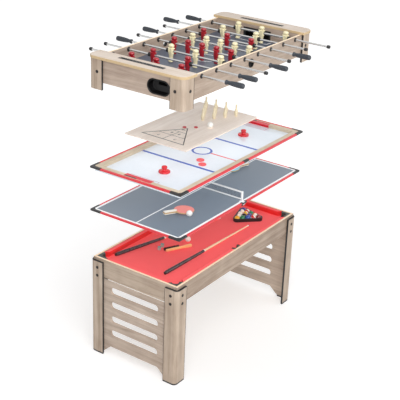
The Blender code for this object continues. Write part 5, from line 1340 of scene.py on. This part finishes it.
# Paler oak print for the caps' flat faces: painted light from above.
cap_oak_painted_light = board_finish("cap_oak_painted_light", GRAIN_CROSS, (9, 1, 6), paint(219, 206, 194), paint(193, 176, 159))
tan_band = plain("tan_band", paint(204, 178, 138), 0.5, 0.08, 90)
for side, where in END_NAMES.items():
    low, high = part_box(f"end_cap_{where}")
    near, far = (low.x, high.x) if side > 0 else (-high.x, -low.x)
    plan = [(near, low.y), *arc(far - CAP_CORNER, low.y + CAP_CORNER, CAP_CORNER, -90, 0, 16),
            *arc(far - CAP_CORNER, high.y - CAP_CORNER, CAP_CORNER, 0, 90, 16), (near, high.y)]
    bm, groove = bmesh.new(), bmesh.new()
    prism(bm, [(side * x, y) for x, y in plan], low.z, high.z)
    box(groove, (side * GROOVE_X - GROOVE[1] / 2, -GROOVE[0] / 2, high.z - GROOVE[2]),
        (side * GROOVE_X + GROOVE[1] / 2, GROOVE[0] / 2, high.z + CUT_OVERRUN))
    bm = cut(bm, groove)
    for face in bm.faces:
        x, y, z = face.calc_center_median()
        inside = abs(abs(x) - GROOVE_X) < GROOVE[1] / 2 + BOARD_EDGE and abs(y) <= GROOVE[0] / 2
        inside = inside and low.z + BOARD_EDGE < z < high.z - BOARD_EDGE
        # Flat faces take the paler oak of painted light, the sides the tan band and the groove black.
        face.material_index = 2 if inside else int(abs(face.normal.z) < 0.5)
    form(f"end_cap_{where}_board", bm, (cap_oak_painted_light, tan_band, black_moulding), "foosball",
         [f"end_cap_{where}"], CAP_EDGE)
    bm = bmesh.new()
    across, along = GROOVE[1] / 2 + SCORE_PLATE[0] / 2, GROOVE[0] / 2 + SCORE_PLATE[0] / 2
    outline = [(side * GROOVE_X + x, y) for x, y in around(across, along)]
    ribbon(bm, outline, SCORE_PLATE[0], high.z, high.z + SCORE_PLATE[1], closed=True)
    trim(f"score_plate_{where}", bm, "foosball", PLATE_ROUNDING)
    bead_x, _, bead_z = middle_of(f"score_beads_{where}")
    first_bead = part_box(f"score_beads_{where}")[0].y
    profile = [(r * BEAD_RADIUS, z * BEAD_LENGTH) for r, z in BEAD_SHARES]
    bead = turning("bead", profile, black_moulding, 24, facing((0, 1, 0)))
    for i in range(BEAD_COUNT):
        hang(f"score_bead_{where}_{i + 1}", bead, f"score_{where}",
             [f"score_beads_{where}"], matrix=laid((bead_x, first_bead + i * BEAD_LENGTH), bead_z))

# Return and entry cups. Glossy black mouldings: an oval dish with a thin flange in each end
# wall, open at the back where the ball rolls in, and a round throat in each long wall. Their
# black is darkened to near black, partly as painted shade inside them.

CUP_FROM_BACK = ((-0.0055, 0), (-0.0020, 0.004), (-0.0003, 0.012))
CUP_FROM_LIP = ((-0.0003, -0.0030), (0.0050, -0.0030), (0.0050, -0.0012), (0.0038, 0), (-0.0015, 0),
                (-0.0030, -0.0020))
CUP_INSIDE = ((-0.0035, 0.015), (-0.0070, 0.006), (-0.0130, 0.003))
CUP_WINDOW = (0.060, 0.026)
ENTRY_PROFILE = ((0.0190, -0.0155), (0.0200, -0.0155), (0.0200, 0.0), (0.0262, 0.0), (0.0270, 0.0008),
                 (0.0266, 0.0035), (0.0230, 0.0072), (0.0215, 0.0080), (0.0198, 0.0068), (0.0190, 0.0040),
                 (0.0190, -0.0155))

# Black plastic darkened to near black, partly painted shade inside the cups.
cup_black_and_shade = plain("cup_black_and_shade", paint(9, 8, 9), 0.35, 0.15, 60, Specular_IOR_Level=0.3)
for side, where in END_NAMES.items():
    low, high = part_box(f"return_cup_{where}")
    lip, back = (high.x, low.x) if side > 0 else (low.x, high.x)
    centre = middle_of(f"return_cup_{where}")[1:]
    rings = []
    for end, section in ((back, CUP_FROM_BACK), (lip, CUP_FROM_LIP), (back, CUP_INSIDE)):
        for grow, along in section:
            length, height = CUP_LENGTH + 2 * grow, CUP_HEIGHT + 2 * grow
            oval = rounded(*centre, length, height, height / 2 - SEAT_GAP, 16)
            rings.append([(end + side * along, y, z) for y, z in oval])
    bm, window = bmesh.new(), bmesh.new()
    loft(bm, rings)
    ends = sorted((back - side * CUT_OVERRUN, back + side * (CUP_WALL + CUT_OVERRUN)))
    box(window, (ends[0], centre[0] - CUP_WINDOW[0] / 2, centre[1]),
        (ends[1], centre[0] + CUP_WINDOW[0] / 2, centre[1] + CUP_WINDOW[1]))
    form(f"return_cup_{where}_dish", cut(bm, window), cup_black_and_shade, "foosball",
         [f"return_cup_{where}"])
for side, where in SIDE_NAMES.items():
    lie = facing((0, side, 0), (0, side * WALL_FACE, ENTRY_LEVEL))
    hang(f"entry_cup_{where}", turning("entry", ENTRY_PROFILE, cup_black_and_shade, 40, lie), "foosball",
         [f"side_wall_{where}"])

# Rod bearings. Each is a black nylon bush pushed through the wall from the outside, with a
# flange there and a six-sided nut that draws it up on the inside.

BUSH_PROFILE = (
    (0.0068, -0.0220), (0.0098, -0.0220), (0.0105, -0.0212), (0.0105, -0.0150), (0.0098, -0.0150),
    (0.0098, 0.0), (0.0130, 0.0), (0.0135, 0.0006), (0.0133, 0.0034), (0.0108, 0.0046), (0.0105, 0.0066),
    (0.0098, 0.0070), (0.0068, 0.0070), (0.0068, -0.0220),
)
NUT_RADIUS = 0.0150
NUT_BORE = 0.0106
NUT_POINTS = 36
NUT_FLAT = 0.88
NUT_ROUND = 0.97
NUT_SECTIONS = ((0.86, False, 0), (0.96, False, 0.0008), (1, True, 0.0016), (1, True, 0.0042),
                (0.93, True, 0.0050))

bush_black = plain("bush_black", paint(30, 29, 31), 0.45, 0.12)
bush_mesh = turning("bush", BUSH_PROFILE, bush_black)


def nut_radius(angle, share, six_sided):
    """Radius of the nut at an angle."""
    off_flat = (angle + math.pi / 6) % (math.pi / 3) - math.pi / 6
    return NUT_RADIUS * share * (NUT_FLAT / math.cos(off_flat) if six_sided else NUT_ROUND)


bm = bmesh.new()
rings = [ring_about(NUT_POINTS, z, lambda a: nut_radius(a, share, six_sided))
         for share, six_sided, z in NUT_SECTIONS]
rings += [ring_about(NUT_POINTS, z, lambda _: NUT_BORE) for z in (NUT_SECTIONS[-1][2], 0)]
loft(bm, rings, closed=True)
nut_mesh = shape("nut", bm, bush_black)
for side, where in SIDE_NAMES.items():
    outer = side * WALL_FACE
    for k, rod_x in enumerate(rod_places, 1):
        hang(f"bearing_{where}_{k}", bush_mesh, "foosball", [f"side_wall_{where}"],
             matrix=facing((0, side, 0), (rod_x, outer, rod_level)))
        hang(f"bearing_nut_{where}_{k}", nut_mesh, "foosball", [f"side_wall_{where}"],
             matrix=facing((0, -side, 0), (rod_x, outer - side * WALL_BOARD, rod_level)))

# Rods. Each is a chromed steel tube with its men pinned on, a ribbed rubber stop, a fluted
# grip on the player's side and a domed cap on the other. A second stop rides loose on it.

ROD_RADIUS = 0.0064
MEN = (3, 2, 3, 5, 5, 3, 2, 3)
GRIP_SIDES = (-1, -1, 1, -1, 1, -1, 1, 1)
SPACINGS = {2: 0.250, 3: 0.178, 5: 0.104}
HALF_MAN = 0.015
STOP_SEAT = 0.001
GRIP_LENGTH = 0.118
GRIP_RADIUS = 0.0155
CAP_LENGTH = 0.020
FLUTES = 8
FLUTE_DEPTH = 0.14
FLUTE_ROUND = 0.7
GRIP_SECTIONS = (
    (0.70, 0, 0), (0.88, 0.012, 0), (0.90, 0.04, 0), (0.86, 0.075, 0), (0.70, 0.12, 0), (0.68, 0.16, 0),
    (0.76, 0.24, 0.1), (0.88, 0.36, 0.8), (0.95, 0.52, 1), (0.99, 0.70, 1), (1, 0.82, 1), (0.99, 0.89, 0.7),
    (0.96, 0.94, 0.1), (0.86, 0.98, 0), (0.66, 1, 0),
)
CAP_PROFILE = ((0.0098, 0), (0.0105, 0.0008), (0.0105, 0.0130), (0.0100, 0.0160), (0.0082, 0.0186),
               (0.0050, 0.0198), (0.0010, 0.0200))
STOP_PROFILE = (
    (0.0066, 0), (0.0112, 0), (0.0123, 0.0010), (0.0125, 0.0030), (0.0112, 0.0040), (0.0112, 0.0050),
    (0.0125, 0.0060), (0.0125, 0.0095), (0.0112, 0.0105), (0.0112, 0.0115), (0.0125, 0.0125),
    (0.0123, 0.0150), (0.0112, 0.0160), (0.0066, 0.0160), (0.0066, 0),
)
MAN_POINTS = 20
NECK_LEVEL = 0.019
SQUARENESS = 0.72
MAN_SECTIONS = (
    (-0.0660, 0.0132, 0.0104, 0.0028), (-0.0645, 0.0140, 0.0114, 0.0026), (-0.0600, 0.0142, 0.0116, 0.0022),
    (-0.0540, 0.0124, 0.0092, 0.0008), (-0.0400, 0.0126, 0.0090, 0), (-0.0260, 0.0138, 0.0102, 0),
    (-0.0160, 0.0172, 0.0126, 0), (-0.0135, 0.0156, 0.0134, 0), (0.0060, 0.0153, 0.0140, 0),
    (0.0132, 0.0154, 0.0134, 0), (0.0144, 0.0236, 0.0136, 0), (0.0172, 0.0240, 0.0130, 0),
    (0.0188, 0.0172, 0.0114, 0), (0.0198, 0.0126, 0.0104, 0), (0.0208, 0.0138, 0.0120, 0),
    (0.0244, 0.0178, 0.0154, 0), (0.0300, 0.0190, 0.0165, 0), (0.0350, 0.0186, 0.0162, 0),
    (0.0390, 0.0158, 0.0140, 0), (0.0418, 0.0104, 0.0092, 0), (0.0430, 0.0036, 0.0032, 0),
)
ARM_PLACE = (0.0108, 0.0092)
ARM_SECTIONS = ((-0.0100, 0.0020), (-0.0080, 0.0036), (0.0040, 0.0040), (0.0110, 0.0040),
                (0.0140, 0.0030), (0.0155, 0.0012))
ARM_DEPTH = 1.2
ARM_SQUARENESS = 0.9

chrome = plain("chrome", paint(204, 204, 203), 0.22, 0.04, 40, Metallic=1.0)
grip_rubber = plain("grip_rubber", paint(44, 50, 58), 0.42, 0.12, 120)
stop_rubber = plain("stop_rubber", paint(30, 30, 32), 0.55, 0.15, 150)
men_red = plain("men_red", paint(160, 22, 36), 0.3, 0.08, 80, Coat_Weight=0.3)
men_cream = plain("men_cream", paint(236, 226, 186), 0.35, 0.06, 80, Coat_Weight=0.3)


def squared(half_y, half_x, points, power):
    """Oval, the squarer the smaller the power."""
    plan = []
    for i in range(points):
        angle = math.tau * (i + 0.5) / points
        plan.append([half * math.copysign(abs(way) ** power, way)
                     for half, way in ((half_x, math.cos(angle)), (half_y, math.sin(angle)))])
    return plan


def man_mesh(look):
    """Player figure: a body lofted from the feet to the crown, and two arms at its sides."""
    bm = bmesh.new()
    rings = []
    for z, half_y, half_x, shift in MAN_SECTIONS:
        power = 1.0 if z > NECK_LEVEL else SQUARENESS
        rings.append([(x + shift, y, z) for x, y in squared(half_y, half_x, MAN_POINTS, power)])
    loft(bm, rings)
    for side in (-1, 1):
        loft(bm, [[(ARM_PLACE[0] + x, side * ARM_PLACE[1] + y, z)
                   for x, y in squared(radius, radius * ARM_DEPTH, 12, ARM_SQUARENESS)]
                  for z, radius in ARM_SECTIONS])
    return shape("man", bm, look)


def grip_radius(angle, share, flute):
    """Radius of the grip at an angle, less in a flute."""
    dip = FLUTE_DEPTH * flute * max(0, math.cos(FLUTES * angle)) ** FLUTE_ROUND
    return GRIP_RADIUS * share * (1 - dip)


bm = bmesh.new()
loft(bm, [ring_about(6 * FLUTES, along * GRIP_LENGTH, lambda a: grip_radius(a, share, flute))
          for share, along, flute in GRIP_SECTIONS])
grip_mesh = shape("grip", bm, grip_rubber)
cap_mesh = turning("rod_cap", CAP_PROFILE, stop_rubber)
stop_mesh = turning("stop", STOP_PROFILE, stop_rubber)
men_meshes = {-1: man_mesh(men_red), 1: man_mesh(men_cream)}
for k, (men, grip_side) in enumerate(zip(MEN, GRIP_SIDES), 1):
    rod = f"rod_{k}"
    low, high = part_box(rod)
    grip_end, cap_end = (low.y, high.y) if grip_side < 0 else (high.y, low.y)
    grip_start, cap_start = grip_end - grip_side * GRIP_LENGTH, cap_end + grip_side * CAP_LENGTH
    middle = Vector((rod_places[k - 1], (grip_start + cap_start) / 2, rod_level))
    reach = abs(grip_start - middle.y) + CAP_LENGTH / 2
    profile = [(ROD_RADIUS, -reach), (ROD_RADIUS, reach)]
    steel = turning("rod", profile, chrome, matrix=facing((0, 1, 0), middle))
    hang(f"{rod}_steel", steel, rod, [rod])
    outer_man = SPACINGS[men] * (men - 1) / 2
    stop_place = outer_man + HALF_MAN + STOP_SEAT
    bumper = f"bumper_{k}"
    for name, mesh, body, slot, stands_for, way, y in (
            (f"{rod}_grip", grip_mesh, rod, "black_rubber", rod, grip_side, grip_start),
            (f"{rod}_cap", cap_mesh, rod, "black_plastic", rod, -grip_side, cap_start),
            (f"{rod}_stop", stop_mesh, rod, "black_rubber", rod, -1, middle.y - stop_place),
            (f"{bumper}_ring", stop_mesh, f"ring_{k}", "black_rubber", bumper, 1, middle.y + stop_place)):
        hang(name, mesh, body, [stands_for], matrix=facing((0, way, 0), (middle.x, y, middle.z)))
    turn = Matrix.Rotation(0 if grip_side < 0 else math.pi, 4, "Z")
    slot = "red_rubber" if grip_side < 0 else "ball_gloss"
    for i in range(men):
        place = middle + Vector((0, i * SPACINGS[men] - outer_man, 0))
        hang(f"{rod}_man_{i + 1}", men_meshes[grip_side], rod, [rod],
             matrix=Matrix.Translation(place) @ turn)

# View. The camera stands where the photograph was taken from, off the near left corner and
# well above the table, among four soft lamps, one without a shadow. The white floor glows more
# away from the table, so that the open floor stays white and the soft shadow shows.

CAMERA_AZIMUTH = math.radians(-55.58)
CAMERA_HEIGHT = math.radians(24.28)
CAMERA_ROLL = math.radians(2.29)
CAMERA_TARGET = Vector((0.00745, 0.0056, 0.9192))
CAMERA_DISTANCE = 6.475
LENS = 90
SENSOR = 36
FLOOR_SIZE = 40
FLOOR_GREY = 0.88
WORLD_LIGHT = 0.42
GLOW_CENTRE = (-0.7, -1.4, 0)
GLOW_REACH = (0.8, 5.5)
FLOOR_GLOW = (0.12, 0.64)
LAMPS = (
    ("key", (-3.6, -3.2, 5.0), 4.0, 120, True), ("side_key", (-4.6, -4.0, 2.4), 3.0, 60, True),
    ("side_fill", (3.4, -4.6, 3.0), 4.0, 40, True), ("open_fill", (-1.6, -2.4, 5.6), 4.0, 150, False),
)

camera = bpy.data.objects.new("camera", bpy.data.cameras.new("camera"))
camera.data.lens = LENS
camera.data.sensor_width = SENSOR
back = Vector((math.sin(CAMERA_AZIMUTH) * math.cos(CAMERA_HEIGHT),
               -math.cos(CAMERA_AZIMUTH) * math.cos(CAMERA_HEIGHT), math.sin(CAMERA_HEIGHT)))
right = Vector((0, 0, 1)).cross(back).normalized()
up = back.cross(right)
c, s = math.cos(CAMERA_ROLL), math.sin(CAMERA_ROLL)
turn = Matrix((c * right + s * up, c * up - s * right, back)).transposed()
camera.matrix_world = Matrix.Translation(CAMERA_TARGET + back * CAMERA_DISTANCE) @ turn.to_4x4()
bpy.context.collection.objects.link(camera)
scene = bpy.context.scene
scene.camera = camera
scene.view_settings.view_transform = "Standard"

for name, place, size, power, shades in LAMPS:
    lamp = bpy.data.objects.new(name, bpy.data.lights.new(name, "AREA"))
    lamp.data.size = size
    lamp.data.energy = power
    lamp.data.use_shadow = shades
    lamp.matrix_world = facing(Vector(place) - CAMERA_TARGET, place)
    bpy.context.collection.objects.link(lamp)


def looked_at(tree):
    """1 on rays from the eye, in a reflection or through glass, and 0 on rays of light."""
    rays = node(tree, "LightPath").outputs
    seen = maths(tree, "MAXIMUM", rays["Is Camera Ray"], rays["Is Glossy Ray"])
    return maths(tree, "MAXIMUM", seen, rays["Is Transmission Ray"])


world = bpy.data.worlds.new("studio")
world.use_nodes = True
scene.world = world
tree = world.node_tree
level = node(tree, "Mix", {0: looked_at(tree), 2: WORLD_LIGHT, 3: 1.0}).outputs[0]
tree.nodes["Background"].inputs["Color"].default_value = (1, 1, 1, 1)
tree.links.new(level, tree.nodes["Background"].inputs["Strength"])

bm = bmesh.new()
bm.faces.new([bm.verts.new((x, y, 0)) for x, y in around(FLOOR_SIZE / 2, FLOOR_SIZE / 2)])
floor_white = bpy.data.materials.new("floor_white")
floor_white.use_nodes = True
tree = floor_white.node_tree
shader = tree.nodes["Principled BSDF"]
shader.inputs["Base Color"].default_value = (FLOOR_GREY, FLOOR_GREY, FLOOR_GREY, 1)
shader.inputs["Roughness"].default_value = 0.9
shader.inputs["Specular IOR Level"].default_value = 0.1
shader.inputs["Emission Color"].default_value = (1, 1, 1, 1)
spot = node(tree, "TexCoord").outputs["Object"]
away = node(tree, "VectorMath", {0: spot, 1: GLOW_CENTRE}, operation="DISTANCE").outputs["Value"]
level = node(tree, "MapRange", dict(enumerate((away, *GLOW_REACH, *FLOOR_GLOW)))).outputs[0]
tree.links.new(maths(tree, "MULTIPLY", looked_at(tree), level), shader.inputs["Emission Strength"])
floor = bpy.data.objects.new("floor", shape("floor", bm, floor_white))
bpy.context.collection.objects.link(floor)
